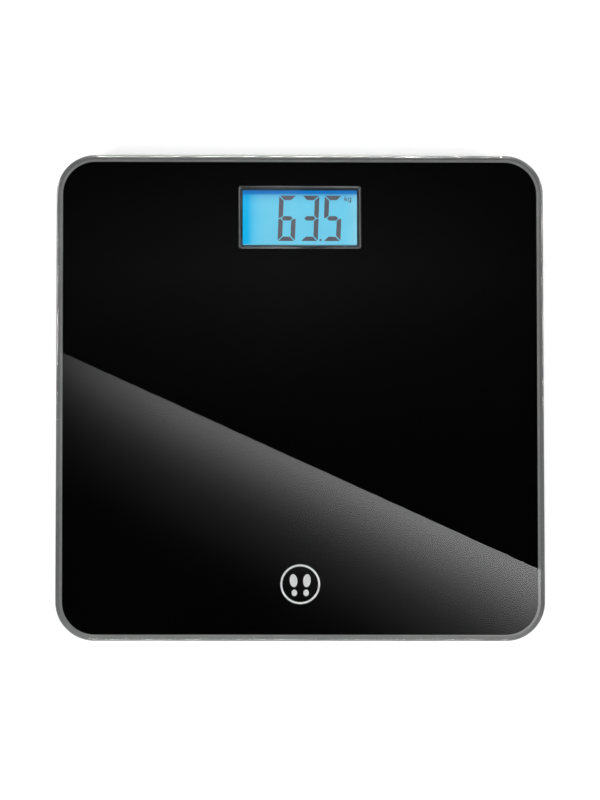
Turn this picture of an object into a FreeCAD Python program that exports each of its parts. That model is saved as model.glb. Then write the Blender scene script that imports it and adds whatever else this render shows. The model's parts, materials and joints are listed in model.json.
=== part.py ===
"""Digital bathroom scale: a glass platform on four load-cell feet, with a backlit display.

Millimetres. +X is right and +Y is the back edge, where the display is, as the user stands on it.
+Z is up. The origin is on the floor under the middle of the platform.
Each function makes one sub-part, and main() writes each one as parts/NODE.step.
"""
import FreeCAD
import Part

import math
import os

from FreeCAD import Placement, Rotation, Vector

# ---- driving dimensions -------------------------------------------------------------------------
SIDE = 300.0                    # platform, square
CORNER_R = 24.0                 # platform corner, seen from above
HEIGHT = 24.0                   # floor to the top of the glass
GLASS_T = 6.0
PENCIL_R = 2.7                  # rounding ground all along the glass edge
CLEAR_RIM = 4.0                 # unprinted rim of the glass
PRINT_T = 0.2
TAPE_T = 0.6                    # foam tape between the print and what hangs under it
TAPE_INSET = 2.0

# display window in the print, and what shows in it
DISPLAY_Y = 111.7               # middle of the window
WINDOW_X, WINDOW_Y, WINDOW_R = 75.4, 39.0, 1.6
VIEW_X, VIEW_Y = 70.8, 34.4     # what the bezel leaves of the display
BEZEL_LAP = 1.0                 # how far the bezel reaches under the print
BEZEL_R, VIEW_R = 2.4, 0.8
BEZEL_SLOPE = 1.1               # width of the bezel's sloping inner face

# levels of the stack under the glass, from the top down
Z_GLASS = HEIGHT - GLASS_T
Z_PRINT = Z_GLASS - PRINT_T
Z_TAPE = Z_PRINT - TAPE_T       # top of the housing and of the pods
Z_ROOF = 15.8                   # underside of the housing's roof
Z_LCD_TOP = 15.4
Z_BOARD_TOP = 9.6
BOARD_T = 1.2
Z_BOARD = Z_BOARD_TOP - BOARD_T
Z_COVER = 2.6                   # outer face of the rear cover
COVER_T = 2.0
Z_COVER_IN = Z_COVER + COVER_T
Z_WIRE = 14.2                   # all leads run level at this height
FIT_GAP = 0.2                   # between parts that drop into one another

# electronics housing
HOUSING_X, HOUSING_Y, HOUSING_R = 120.0, 98.0, 10.0
HOUSING_MID_Y = 91.0
WALL = 2.0
SCREW_X = 54.0                  # columns of the cover screws, left and right
SCREW_YS = (48.5, 91.0, 133.5)
BOSS_R, PAD_BOSS_R = 3.2, 3.4
Z_BOSS = 6.2                    # lower end of the screw bosses
LIP_W = 1.2                     # the cover's locating lip
Z_LIP = Z_BOSS - 0.1
COVER_HEAD_R, COVER_SHANK_R = 2.45, 1.35

# display module, measured from the middle of the window
LCD_X, LCD_FRONT, LCD_BACK = 82.0, -26.0, 22.0
LCD_LEDGE = 4.5                 # contact ledge along the front of the upper glass
LCD_GLASS_T = 1.1
FILM_T = 0.2
GUIDE_X, GUIDE_FRONT, GUIDE_BACK = 76.0, -18.5, 19.0
GUIDE_T, DIFFUSER_T = 2.6, 0.3
FILM_INSET = 0.6                # the films stop short of the display glass's edges
FRAME_WALL = 1.6
ZEBRA_X, ZEBRA_Y = 70.0, 2.2
LED_X, LED_Y, LED_H = 1.8, 3.6, 2.1
LED_IN = 1.1                    # each LED's middle, in from the guide's end
LED_YS = (-9.0, 9.5)

# main board
BOARD_X = 98.0
BOARD_FRONT, BOARD_BACK = 78.0, 136.7
BOARD_SCREWS = ((-40.0, 80.8), (40.0, 80.8), (-46.3, 133.5), (46.3, 133.5))
BOARD_R, BOARD_HOLE_R, BOARD_BOSS_R, BOARD_SHANK_R = 2.0, 1.35, 2.4, 1.05
CHIP_X, CHIP_Y, CHIP_R, CHIP_H = -6.0, 106.0, 6.0, 1.7
CHIP_ROWS = ((92.0, 0.6), (119.0, 0.8))     # y and height of each row of small parts
CAN_X, CAN_YS, CAN_R, CAN_H = 26.0, (100.0, 112.0), 2.5, 3.4

# battery bay: two AAA cells side by side along X
CELL_R, CELL_LEN, NUB_R, NUB_LEN = 5.25, 44.5, 1.9, 1.0
CELL_FRONT_Y, CELL_REAR_Y = 57.0, 68.2
CELL_Z = Z_COVER_IN + 0.3 + CELL_R
BAY_X, BAY_FRONT, BAY_BACK = 50.4, 51.4, 74.0
BAY_WALL = 1.4
Z_BAY = Z_COVER_IN + 1.4        # lower edge of the bay's walls
PLATE_T, PLATE_HALF, TAB_HALF, TAB_OUT = 0.4, 4.2, 1.2, 3.2
TAB_Z = CELL_Z + 1.0
SPRING_WIRE_R, SPRING_TIP_R, SPRING_TURNS, SPRING_FLARE = 0.3, 1.9, 4.0, 18.0
LEAD_LANES = (-33.5, -31.0)     # x of the battery leads, front cell first
LEAD_BEND = 1.2

# battery door, hinged along its rear edge
HINGE_Y = 74.2
HINGE_Z = Z_COVER + COVER_T / 2
KNUCKLE_R = COVER_T / 2
PIN_R, PIN_LEN, PIN_PLAY = 0.6, 2.3, 0.06
DOOR_GAP = 0.3
DOOR_FRONT = 50.9
LATCH_X = 4.8                   # half width of the latch
LATCH_GAP = 0.6
Z_LATCH_TOP = Z_COVER + 4.4
EAR_LEN, EAR_HALF = 3.6, 2.4    # blocks in the cover that hold the pins' sockets
GRIP_COUNT, GRIP_PITCH, GRIP_W, GRIP_HALF, GRIP_DEPTH = 4, 1.8, 0.8, 9.0, 0.5
SCOOP_R, SCOOP_DEPTH = 8.0, 1.1 # fingertip hollow in front of the latch

# unit button
BUTTON_X, BUTTON_Y, BUTTON_R = 34.0, 95.0, 3.3
BUTTON_PLAY = 0.3
BUTTON_FLANGE, BUTTON_SUNK, BUTTON_TRAVEL = 1.0, 0.2, 0.4
SWITCH_HALF, SWITCH_H = 3.0, 2.5
PLUNGER_R, PLUNGER_OUT, PLUNGER_IN = 1.5, 0.6, 0.7
PLUNGER_PLAY = 0.08

# load-cell pods, one under each corner
POD_AT = 108.0                  # |x| and |y| of each pod's middle
POD_SIDE, POD_R = 58.0, 16.0
Z_POD = 6.5                     # lower edge of the pod shell
POD_ROOF_T = 2.0
RING_T = 1.9                    # retaining ring that closes the pod
POD_SCREW_AT = 21.5
CELL_SIDE, CELL_T, Z_CELL = 34.0, 2.0, 11.6
CELL_OFFSET = 5.0               # the load cell's middle, out from the pod's middle
TONGUE_TIP, TONGUE_ROOT, TONGUE_HALF = -6.8, 14.0, 7.0
SLOT_W = 1.2
CELL_SCREWS = ((19.0, 12.5), (19.0, -12.5))
CELL_PADS = ((-9.0, 12.5), (-9.0, -12.5))
STANDOFF_R, CORNER_BOSS_R = 2.8, 2.6
RING_HEAD_R, RING_SHANK_R, CELL_SHANK_R = 2.0, 1.05, 1.2
BEAD_X, BEAD_Y, BEAD_H = 7.0, 9.0, 1.2      # potting over the strain gauge

# floating foot
FOOT_R, FOOT_PLAY = 20.0, 0.4
FLANGE_R, FLANGE_T = 23.0, 1.4
Z_FOOT, FOOT_FLOOR = 1.4, 2.2
FLANGE_GAP = 0.2                # the flange hangs this far above the ring
BOSS_FOOT_R, Z_BOSS_FOOT = 5.0, 9.8
TIP_R, DOME_R = 2.4, 4.0
RIB_COUNT, RIB_T, Z_RIB = 6, 1.2, 7.4
PAD_R, PAD_T, PAD_GAP = 17.0, 2.4, 0.15
PAD_GROOVES, GROOVE_HALF, GROOVE_DEPTH = (6.0, 11.0), 0.7, 0.6

# leads and the channels that cover them
WIRE_R, WIRE_PITCH, WIRE_BEND = 0.55, 1.3, 4.0
CHANNEL_W, CHANNEL_WALL = 9.0, 1.0
Z_CHANNEL = 12.6
CHANNEL_GAP = 2.0               # between a channel's end and the pod or housing
TURN_Y = 62.0                   # where the front channels turn towards the housing
TURN_R = 6.0
SLOT_HALF, SLOT_Z0, SLOT_Z1 = 2.6, 13.4, 15.0
SOLDER_X = 46.0                 # column of solder pads on the board
SOLDER_Y = 98.0

UP = Vector(0, 0, 1)
EPS = 0.5                       # how far a cutting tool runs past a face


# ---- shape helpers ------------------------------------------------------------------------------
def block(x0, x1, y0, y1, z0, z1):
    return Part.makeBox(x1 - x0, y1 - y0, z1 - z0, Vector(x0, y0, z0))


def disc(x, y, r, z0, z1):
    return Part.makeCylinder(r, z1 - z0, Vector(x, y, z0), UP)


def rod(x0, x1, y, z, r):
    """A cylinder along X."""
    return Part.makeCylinder(r, x1 - x0, Vector(x0, y, z), Vector(1, 0, 0))


def slab(x, y, size_x, size_y, r, z0, z1):
    """A rectangular plate with rounded corners, centred on x, y."""
    plate = block(x - size_x / 2, x + size_x / 2, y - size_y / 2, y + size_y / 2, z0, z1)
    upright = [e for e in plate.Edges if abs(e.tangentAt(e.FirstParameter).z) > 0.9]
    return plate.makeFillet(r, upright)


def prism_x(points, x0, x1):
    """A closed outline of (y, z) points, extruded along X."""
    corners = [Vector(x0, y, z) for y, z in points]
    face = Part.Face(Part.makePolygon(corners + corners[:1]))
    return face.extrude(Vector(x1 - x0, 0, 0))


def fused(shapes):
    whole = shapes[0].fuse(shapes[1:]) if len(shapes) > 1 else shapes[0]
    return whole.removeSplitter()


def rim_edges(shape, z):
    """The edges that lie at height z, such as a plate's lower outline."""
    return [e for e in shape.Edges if all(abs(v.Point.z - z) < 1e-6 for v in e.Vertexes)]


def screw(x, y, z_head, head_r, head_h, shank_r, shank_len):
    """A pan-head screw driven upwards, with a cross recess in its head."""
    head = disc(x, y, head_r, z_head, z_head + head_h)
    head = head.makeFillet(head_h * 0.45, rim_edges(head, z_head))
    shank = disc(x, y, shank_r, z_head + head_h, z_head + head_h + shank_len)
    shank = shank.makeChamfer(shank_r * 0.5, rim_edges(shank, z_head + head_h + shank_len))
    arm, half_w, depth = head_r * 0.62, head_r * 0.14, head_h * 0.55
    across = block(x - arm, x + arm, y - half_w, y + half_w, z_head - EPS, z_head + depth)
    along = block(x - half_w, x + half_w, y - arm, y + arm, z_head - EPS, z_head + depth)
    return fused([head, shank]).cut([across, along])


def path_wire(points, radius):
    """Straight runs joined by tangent arcs of one radius."""
    edges = []
    start = points[0]
    for before, corner, after in zip(points, points[1:], points[2:]):
        into = (corner - before).normalize()
        out = (after - corner).normalize()
        trim = radius * math.tan(into.getAngle(out) / 2)
        arc_in = corner - into * trim
        arc_out = corner + out * trim
        bulge = (out - into).normalize()
        to_centre = math.hypot(radius, trim)
        middle = corner + bulge * (to_centre - radius)
        edges += [Part.LineSegment(start, arc_in).toShape(), Part.Arc(arc_in, middle, arc_out).toShape()]
        start = arc_out
    edges.append(Part.LineSegment(start, points[-1]).toShape())
    return Part.Wire(edges)


def tube(points, radius, bend_r):
    """A round wire along a path."""
    path = path_wire(points, bend_r)
    start = (points[1] - points[0]).normalize()
    section = Part.Wire(Part.makeCircle(radius, points[0], start))
    return path.makePipeShell([section], True, True)


def ribbon(points, width, radius, z0, z1):
    """A flat strip of constant width along a level path with right-angle turns."""
    flat = [Vector(p.x, p.y, z0) for p in points]
    pieces = []
    start = flat[0]
    for index, corner in enumerate(flat[1:], 1):
        ahead = (corner - start).normalize()
        last = index == len(flat) - 1
        end = corner if last else corner - ahead * radius
        side = Vector(-ahead.y, ahead.x, 0) * (width / 2)
        outline = Part.makePolygon([start + side, end + side, end - side, start - side, start + side])
        pieces.append(Part.Face(outline).extrude(UP * (z1 - z0)))
        if last:
            break
        leaving = (flat[index + 1] - corner).normalize()
        centre = end + leaving * radius
        outer = Part.makeCylinder(radius + width / 2, z1 - z0, centre, UP)
        inner = Part.makeCylinder(radius - width / 2, z1 - z0 + 2 * EPS, centre - UP * EPS, UP)
        reach = radius + width
        quarter = [centre, centre + ahead * reach, centre + (ahead - leaving) * reach, centre - leaving * reach]
        sector = Part.Face(Part.makePolygon(quarter + [centre])).extrude(UP * (z1 - z0))
        pieces.append(outer.cut(inner).common(sector))
        start = corner + leaving * radius
    return fused(pieces)


# ---- platform -----------------------------------------------------------------------------------
def glass_platform():
    """Toughened glass with a rounded, ground edge all round."""
    glass = slab(0, 0, SIDE, SIDE, CORNER_R, Z_GLASS, HEIGHT)
    return glass.makeFillet(PENCIL_R, rim_edges(glass, Z_GLASS) + rim_edges(glass, HEIGHT))


def glass_back_print():
    """The black screen print on the glass's underside, with its clear display window."""
    side = SIDE - 2 * CLEAR_RIM
    ink = slab(0, 0, side, side, CORNER_R - CLEAR_RIM, Z_PRINT, Z_GLASS)
    return ink.cut(slab(0, DISPLAY_Y, WINDOW_X, WINDOW_Y, WINDOW_R, Z_PRINT - EPS, Z_GLASS + EPS))


# ---- display module -----------------------------------------------------------------------------
Z_CELL_GLASS = Z_LCD_TOP - FILM_T - LCD_GLASS_T         # joint between the display's two glasses
Z_LCD_BACK = Z_CELL_GLASS - LCD_GLASS_T - FILM_T        # underside of the rear film
Z_GUIDE_TOP = Z_LCD_BACK - DIFFUSER_T
Z_GUIDE = Z_GUIDE_TOP - GUIDE_T
LCD_Y0, LCD_Y1 = DISPLAY_Y + LCD_FRONT, DISPLAY_Y + LCD_BACK
GUIDE_Y0, GUIDE_Y1 = DISPLAY_Y + GUIDE_FRONT, DISPLAY_Y + GUIDE_BACK
ZEBRA_MID_Y = LCD_Y0 + LCD_LEDGE / 2


def display_bezel():
    """A metallised frame seen through the window, with faces that slope down to the display."""
    outer_x, outer_y = WINDOW_X + 2 * BEZEL_LAP, WINDOW_Y + 2 * BEZEL_LAP
    frame = slab(0, DISPLAY_Y, outer_x, outer_y, BEZEL_R, Z_LCD_TOP, Z_PRINT)
    frame = frame.cut(slab(0, DISPLAY_Y, VIEW_X, VIEW_Y, VIEW_R, Z_LCD_TOP - EPS, Z_PRINT + EPS))
    inner = [e for e in rim_edges(frame, Z_PRINT) if e.BoundBox.XMax <= VIEW_X / 2 + EPS
             and e.BoundBox.XMin >= -VIEW_X / 2 - EPS and e.BoundBox.YMax <= DISPLAY_Y + VIEW_Y / 2 + EPS
             and e.BoundBox.YMin >= DISPLAY_Y - VIEW_Y / 2 - EPS]
    return frame.makeChamfer(BEZEL_SLOPE, inner)


def lcd_cell():
    """Two bonded glasses. The upper one overhangs at the front, and carries the contacts under it."""
    upper = block(-LCD_X / 2, LCD_X / 2, LCD_Y0, LCD_Y1, Z_CELL_GLASS, Z_CELL_GLASS + LCD_GLASS_T)
    lower = block(-LCD_X / 2, LCD_X / 2, LCD_Y0 + LCD_LEDGE, LCD_Y1, Z_CELL_GLASS - LCD_GLASS_T, Z_CELL_GLASS)
    return fused([upper, lower])


def lcd_polarisers():
    """The films on the front and the rear of the display cell."""
    x = LCD_X / 2 - FILM_INSET
    y0, y1 = LCD_Y0 + LCD_LEDGE + FILM_INSET, LCD_Y1 - FILM_INSET
    return [block(-x, x, y0, y1, z, z + FILM_T) for z in (Z_LCD_TOP - FILM_T, Z_LCD_BACK)]


def guide_layer(z0, z1):
    return block(-GUIDE_X / 2, GUIDE_X / 2, GUIDE_Y0, GUIDE_Y1, z0, z1)


def led_boxes(gap, z0, z1):
    """A box round each LED, which shines into the guide's left end. gap is the room left round it."""
    x = -GUIDE_X / 2 + LED_IN
    return [block(x - LED_X / 2 - gap, x + LED_X / 2 + gap, DISPLAY_Y + y - LED_Y / 2 - gap,
                  DISPLAY_Y + y + LED_Y / 2 + gap, z0, z1) for y in LED_YS]


def backlight_light_guide():
    pockets = led_boxes(FIT_GAP, Z_GUIDE - EPS, Z_GUIDE_TOP + EPS)
    return guide_layer(Z_GUIDE, Z_GUIDE_TOP).cut(pockets)


def display_frame():
    """White frame that stacks the backlight, the display cell and the contact strip on the board."""
    x, y0, y1 = LCD_X / 2 + FIT_GAP, LCD_Y0 - FIT_GAP, LCD_Y1 + FIT_GAP
    frame = block(-x - FRAME_WALL, x + FRAME_WALL, y0 - FRAME_WALL, y1 + FRAME_WALL,
                  Z_BOARD_TOP, Z_LCD_TOP + FIT_GAP)
    cell = block(-x, x, y0, y1, Z_LCD_BACK, Z_LCD_TOP + EPS)
    light_x = GUIDE_X / 2 + FIT_GAP
    light = block(-light_x, light_x, GUIDE_Y0 - FIT_GAP, GUIDE_Y1 + FIT_GAP, Z_BOARD_TOP - EPS, Z_LCD_BACK + EPS)
    strip_x, strip_y = ZEBRA_X / 2 + FIT_GAP, ZEBRA_Y / 2 + FIT_GAP
    strip = block(-strip_x, strip_x, ZEBRA_MID_Y - strip_y, ZEBRA_MID_Y + strip_y,
                  Z_BOARD_TOP - EPS, Z_LCD_BACK + EPS)
    return frame.cut([cell, light, strip])


def zebra_connector():
    """Elastomer contact strip from the board up to the display's ledge."""
    return block(-ZEBRA_X / 2, ZEBRA_X / 2, ZEBRA_MID_Y - ZEBRA_Y / 2, ZEBRA_MID_Y + ZEBRA_Y / 2,
                 Z_BOARD_TOP, Z_CELL_GLASS)


# ---- main board ---------------------------------------------------------------------------------
def main_board():
    mid_y = (BOARD_FRONT + BOARD_BACK) / 2
    board = slab(0, mid_y, BOARD_X, BOARD_BACK - BOARD_FRONT, BOARD_R, Z_BOARD, Z_BOARD_TOP)
    return board.cut([disc(x, y, BOARD_HOLE_R, Z_BOARD - EPS, Z_BOARD_TOP + EPS) for x, y in BOARD_SCREWS])


def controller_chip():
    """The bare chip under its round epoxy blob, on the board's lower face."""
    ball_r = (CHIP_R ** 2 + CHIP_H ** 2) / (2 * CHIP_H)
    ball = Part.makeSphere(ball_r, Vector(CHIP_X, CHIP_Y, Z_BOARD - CHIP_H + ball_r))
    return ball.common(disc(CHIP_X, CHIP_Y, CHIP_R + EPS, Z_BOARD - CHIP_H - EPS, Z_BOARD))


def board_components():
    """Rows of chip parts, a transistor, a crystal can and two radial capacitors, under the board."""
    length, width, pitch, count = 2.0, 1.2, 5.0, 5
    first_x = -18.0
    parts = []
    for y, height in CHIP_ROWS:
        for i in range(count):
            x = first_x + pitch * i
            parts.append(block(x, x + length, y, y + width, Z_BOARD - height, Z_BOARD))
    x, y = 8.0, 102.0
    transistor = block(x, x + 2.9, y, y + 1.4, Z_BOARD - 1.1, Z_BOARD)
    parts.append(transistor)
    crystal_x, crystal_y, crystal_r, crystal_len = 12.0, 110.0, 1.0, 6.0
    parts.append(rod(crystal_x, crystal_x + crystal_len, crystal_y, Z_BOARD - crystal_r, crystal_r))
    for y in CAN_YS:
        can = disc(CAN_X, y, CAN_R, Z_BOARD - CAN_H, Z_BOARD)
        parts.append(can.makeFillet(0.4, rim_edges(can, Z_BOARD - CAN_H)))
    return parts


def board_screws():
    head_h = 1.5
    return [screw(x, y, Z_BOARD - head_h, 2.3, head_h, 1.0, 5.0) for x, y in BOARD_SCREWS]


def unit_switch():
    """Tactile switch body on the board's lower face, with a pocket for its plunger."""
    z0 = Z_BOARD - SWITCH_H
    body = block(BUTTON_X - SWITCH_HALF, BUTTON_X + SWITCH_HALF, BUTTON_Y - SWITCH_HALF,
                 BUTTON_Y + SWITCH_HALF, z0, Z_BOARD)
    pocket_top = z0 + PLUNGER_IN + BUTTON_TRAVEL + 0.1
    return body.cut(disc(BUTTON_X, BUTTON_Y, PLUNGER_R + PLUNGER_PLAY, z0 - EPS, pocket_top))


Z_PLUNGER = Z_BOARD - SWITCH_H - PLUNGER_OUT


def unit_switch_plunger():
    return disc(BUTTON_X, BUTTON_Y, PLUNGER_R, Z_PLUNGER, Z_BOARD - SWITCH_H + PLUNGER_IN)


def unit_button():
    """The unit key in the rear cover: a cap, and a flange that keeps it in."""
    face_z, flange_z = Z_COVER + BUTTON_SUNK, Z_COVER_IN + 0.1
    cap = disc(BUTTON_X, BUTTON_Y, BUTTON_R, face_z, flange_z)
    cap = cap.makeFillet(0.4, rim_edges(cap, face_z))
    return fused([cap, disc(BUTTON_X, BUTTON_Y, BUTTON_R + BUTTON_FLANGE, flange_z, Z_PLUNGER)])


# ---- electronics housing ------------------------------------------------------------------------
COVER_SCREWS = [(side * SCREW_X, y) for side in (-1, 1) for y in SCREW_YS]


def housing_slab(inset, z0, z1):
    """The housing's outline, drawn in by inset."""
    return slab(0, HOUSING_MID_Y, HOUSING_X - 2 * inset, HOUSING_Y - 2 * inset, HOUSING_R - inset, z0, z1)


def housing_tape():
    window_gap = 4.0
    window = slab(0, DISPLAY_Y, WINDOW_X + 2 * window_gap, WINDOW_Y + 2 * window_gap, BEZEL_R,
                  Z_TAPE - EPS, Z_PRINT + EPS)
    return housing_slab(TAPE_INSET, Z_TAPE, Z_PRINT).cut(window)


def bay_walls():
    """Rectangular wall round the two cells, with room for the contact plates' tabs and the latch."""
    x, w = BAY_X / 2, BAY_WALL
    outer = block(-x - w, x + w, BAY_FRONT - w, BAY_BACK + w, Z_BAY, Z_ROOF)
    inner = block(-x, x, BAY_FRONT, BAY_BACK, Z_BAY - EPS, Z_ROOF + EPS)
    tab_slot = TAB_HALF + FIT_GAP
    slots = [block(-x - w - EPS, -x + EPS, y - tab_slot, y + tab_slot, CELL_Z - 1, Z_ROOF + EPS)
             for y in (CELL_FRONT_Y, CELL_REAR_Y)]
    latch_half = LATCH_X + 2 * LATCH_GAP
    slots.append(block(-latch_half, latch_half, BAY_FRONT - w - EPS, BAY_FRONT + EPS,
                       Z_BAY - EPS, Z_LATCH_TOP + LATCH_GAP))
    return outer.cut([inner] + slots)


def display_housing():
    """Upper shell: roof, walls, screw bosses and the battery bay's walls."""
    shell = housing_slab(0, Z_COVER_IN, Z_TAPE).cut(housing_slab(WALL, Z_COVER_IN - EPS, Z_ROOF))
    cover_bosses = [disc(x, y, BOSS_R, Z_BOSS, Z_ROOF) for x, y in COVER_SCREWS]
    board_bosses = [disc(x, y, BOARD_BOSS_R, Z_BOARD_TOP, Z_ROOF) for x, y in BOARD_SCREWS]
    shell = fused([shell, bay_walls()] + cover_bosses + board_bosses)
    play = BEZEL_LAP + FIT_GAP
    window = slab(0, DISPLAY_Y, WINDOW_X + 2 * play, WINDOW_Y + 2 * play, BEZEL_R, Z_ROOF - EPS, Z_TAPE + EPS)
    pilots = [disc(x, y, COVER_SHANK_R, Z_BOSS - EPS, Z_BOSS + 7.5) for x, y in COVER_SCREWS]
    pilots += [disc(x, y, BOARD_SHANK_R, Z_BOARD_TOP - EPS, Z_BOARD_TOP + 5.0) for x, y in BOARD_SCREWS]
    wall_x, reach = HOUSING_X / 2 - WALL / 2, WALL / 2 + EPS
    entries = [block(x - reach, x + reach, y - SLOT_HALF, y + SLOT_HALF, SLOT_Z0, SLOT_Z1)
               for x in (-wall_x, wall_x) for y in (TURN_Y, POD_AT)]
    return shell.cut([window] + pilots + entries)


def rear_cover_plate():
    """The cover before it is cut: plate, locating lip, screw pads, hinge ears and key guide."""
    root_z = Z_COVER_IN - 0.1
    plate = housing_slab(0, Z_COVER, Z_COVER_IN)
    plate = plate.makeFillet(1.0, rim_edges(plate, Z_COVER))
    inset = WALL + FIT_GAP
    lip = housing_slab(inset, root_z, Z_LIP).cut(housing_slab(inset + LIP_W, root_z - EPS, Z_LIP + EPS))
    inside = housing_slab(inset, root_z, Z_BOSS)
    pads = [disc(x, y, PAD_BOSS_R, root_z, Z_BOSS).common(inside) for x, y in COVER_SCREWS]
    ear_x, half = BAY_X / 2 + EAR_LEN / 2, EAR_LEN / 2
    ears = [block(x - half, x + half, HINGE_Y - EAR_HALF, HINGE_Y + EAR_HALF, root_z, Z_COVER_IN + 1.0)
            for x in (-ear_x, ear_x)]
    guide_r = BUTTON_R + BUTTON_FLANGE + BUTTON_PLAY
    guide = disc(BUTTON_X, BUTTON_Y, guide_r + 1.6, root_z, Z_COVER_IN + 0.6)
    guide = guide.cut(disc(BUTTON_X, BUTTON_Y, guide_r, root_z - EPS, Z_COVER_IN + 1))
    return fused([plate, lip, guide] + pads + ears)


def rear_cover():
    """Lower shell: screw pads, locating lip, battery opening with its hinge sockets, and key hole."""
    half_x, latch_half = BAY_X / 2, LATCH_X + LATCH_GAP
    opening = block(-half_x, half_x, DOOR_FRONT - DOOR_GAP, HINGE_Y + KNUCKLE_R + DOOR_GAP,
                    Z_COVER - EPS, Z_COVER_IN + 2)
    notch = block(-latch_half, latch_half, DOOR_FRONT - 3.3, DOOR_FRONT, Z_COVER - EPS, Z_COVER_IN - LATCH_GAP)
    catch = block(-latch_half, latch_half, DOOR_FRONT - 2.6, DOOR_FRONT, Z_COVER, Z_COVER_IN + EPS)
    scoop = Part.makeSphere(SCOOP_R, Vector(0, DOOR_FRONT - 3.4, Z_COVER - SCOOP_R + SCOOP_DEPTH))
    socket_end = half_x + PIN_LEN + FIT_GAP
    tools = [opening, notch, catch, scoop, rod(-socket_end, socket_end, HINGE_Y, HINGE_Z, PIN_R + PIN_PLAY)]
    tools.append(disc(BUTTON_X, BUTTON_Y, BUTTON_R + BUTTON_PLAY, Z_COVER - EPS, Z_COVER_IN + EPS))
    tools += [disc(x, y, COVER_HEAD_R + 0.25, Z_COVER - EPS, Z_COVER + 2.0) for x, y in COVER_SCREWS]
    tools += [disc(x, y, COVER_SHANK_R + 0.1, Z_COVER, Z_BOSS + EPS) for x, y in COVER_SCREWS]
    return rear_cover_plate().cut(tools)


def cover_screws():
    return [screw(x, y, Z_COVER + 0.3, COVER_HEAD_R, 1.7, COVER_SHANK_R - 0.05, 7.8) for x, y in COVER_SCREWS]


# ---- battery door and cells ---------------------------------------------------------------------
def battery_door():
    """A plate with a round hinge edge, two stub pins, grip grooves and a snap latch at the front."""
    x = BAY_X / 2 - DOOR_GAP
    plate = block(-x, x, DOOR_FRONT, HINGE_Y, Z_COVER, Z_COVER_IN)
    knuckle = rod(-x, x, HINGE_Y, HINGE_Z, KNUCKLE_R)
    pins = rod(-x - PIN_LEN, x + PIN_LEN, HINGE_Y, HINGE_Z, PIN_R)
    front, z = DOOR_FRONT, Z_COVER
    thumb_tab = [(front + 0.6, z), (front - 2.9, z), (front - 2.9, z + 0.9), (front - 1.7, z + 1.2)]
    nose = [(front - 1.7, z + 2.4), (front - 2.35, z + 2.7), (front - 2.35, z + 3.1)]
    back = [(front - 1.4, Z_LATCH_TOP), (front - 0.8, Z_LATCH_TOP), (front - 0.6, z + 1.2), (front + 0.6, z + 1.2)]
    latch = prism_x(thumb_tab + nose + back, -LATCH_X, LATCH_X)
    grip_ys = [front + 2.2 + GRIP_PITCH * i for i in range(GRIP_COUNT)]
    grooves = [block(-GRIP_HALF, GRIP_HALF, y, y + GRIP_W, z - EPS, z + GRIP_DEPTH) for y in grip_ys]
    return fused([plate, knuckle, latch, pins]).cut(grooves)


def battery_cell(y, positive):
    """An AAA cell. positive is -1 or 1, the side its nub points to."""
    nub_end = positive * (BAY_X / 2 - PLATE_T)
    shoulder = nub_end - positive * NUB_LEN
    base = nub_end - positive * CELL_LEN
    can = rod(min(shoulder, base), max(shoulder, base), y, CELL_Z, CELL_R)
    can = can.makeFillet(0.5, [e for e in can.Edges if len(e.Vertexes) == 1])
    return fused([can, rod(min(nub_end, shoulder), max(nub_end, shoulder), y, CELL_Z, NUB_R)])


def battery_springs():
    """A conical spring at each cell's flat end, wound from its narrow tip to its wide base."""
    height = BAY_X - 2 * PLATE_T - CELL_LEN - 2 * SPRING_WIRE_R
    springs = []
    for y, side in ((CELL_FRONT_Y, 1), (CELL_REAR_Y, -1)):
        coil = Part.Wire(Part.makeLongHelix(height / SPRING_TURNS, height, SPRING_TIP_R, SPRING_FLARE).Edges)
        section = Part.Wire(Part.makeCircle(SPRING_WIRE_R, Vector(SPRING_TIP_R, 0, 0), Vector(0, 1, 0)))
        spring = coil.makePipeShell([section], True, True)
        tip = side * (BAY_X / 2 - PLATE_T - SPRING_WIRE_R - height)
        spring.Placement = Placement(Vector(tip, y, CELL_Z), Rotation(Vector(0, 1, 0), side * 90))
        springs.append(spring)
    return springs


def battery_plates():
    """Nickelled contact plates: one for each cell on the left, and one that joins both on the right."""
    x, z0, z1 = BAY_X / 2, CELL_Z - PLATE_HALF, CELL_Z + PLATE_HALF
    plates = []
    for y in (CELL_FRONT_Y, CELL_REAR_Y):
        leaf = block(-x, -x + PLATE_T, y - PLATE_HALF, y + PLATE_HALF, z0, z1)
        tab = block(-x - TAB_OUT, -x + PLATE_T, y - TAB_HALF, y + TAB_HALF, TAB_Z, TAB_Z + PLATE_T)
        plates.append(fused([leaf, tab]))
    plates.append(block(x - PLATE_T, x, CELL_FRONT_Y - PLATE_HALF, CELL_REAR_Y + PLATE_HALF, z0, z1))
    return plates


def battery_leads():
    """The supply's two wires, from the contact plates' tabs to the board."""
    tab_x, solder_y = -BAY_X / 2 - TAB_OUT + 0.8, BOARD_FRONT + 2.8
    leads = []
    for y, lane in zip((CELL_FRONT_Y, CELL_REAR_Y), LEAD_LANES):
        points = [Vector(tab_x, y, TAB_Z + PLATE_T), Vector(tab_x, y, Z_WIRE), Vector(lane, y, Z_WIRE),
                  Vector(lane, solder_y, Z_WIRE), Vector(lane, solder_y, Z_BOARD_TOP)]
        leads.append(tube(points, WIRE_R, LEAD_BEND))
    return leads


# ---- load-cell pods, in their own frame: the lead leaves along +X --------------------------------
POD_CORNERS = [(x, y) for x in (-POD_SCREW_AT, POD_SCREW_AT) for y in (-POD_SCREW_AT, POD_SCREW_AT)]
Z_POD_ROOF = Z_TAPE - POD_ROOF_T
Z_RING = Z_POD - RING_T


def pod_slab(inset, z0, z1):
    """A pod's outline, drawn in by inset."""
    return slab(0, 0, POD_SIDE - 2 * inset, POD_SIDE - 2 * inset, POD_R - inset, z0, z1)


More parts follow.
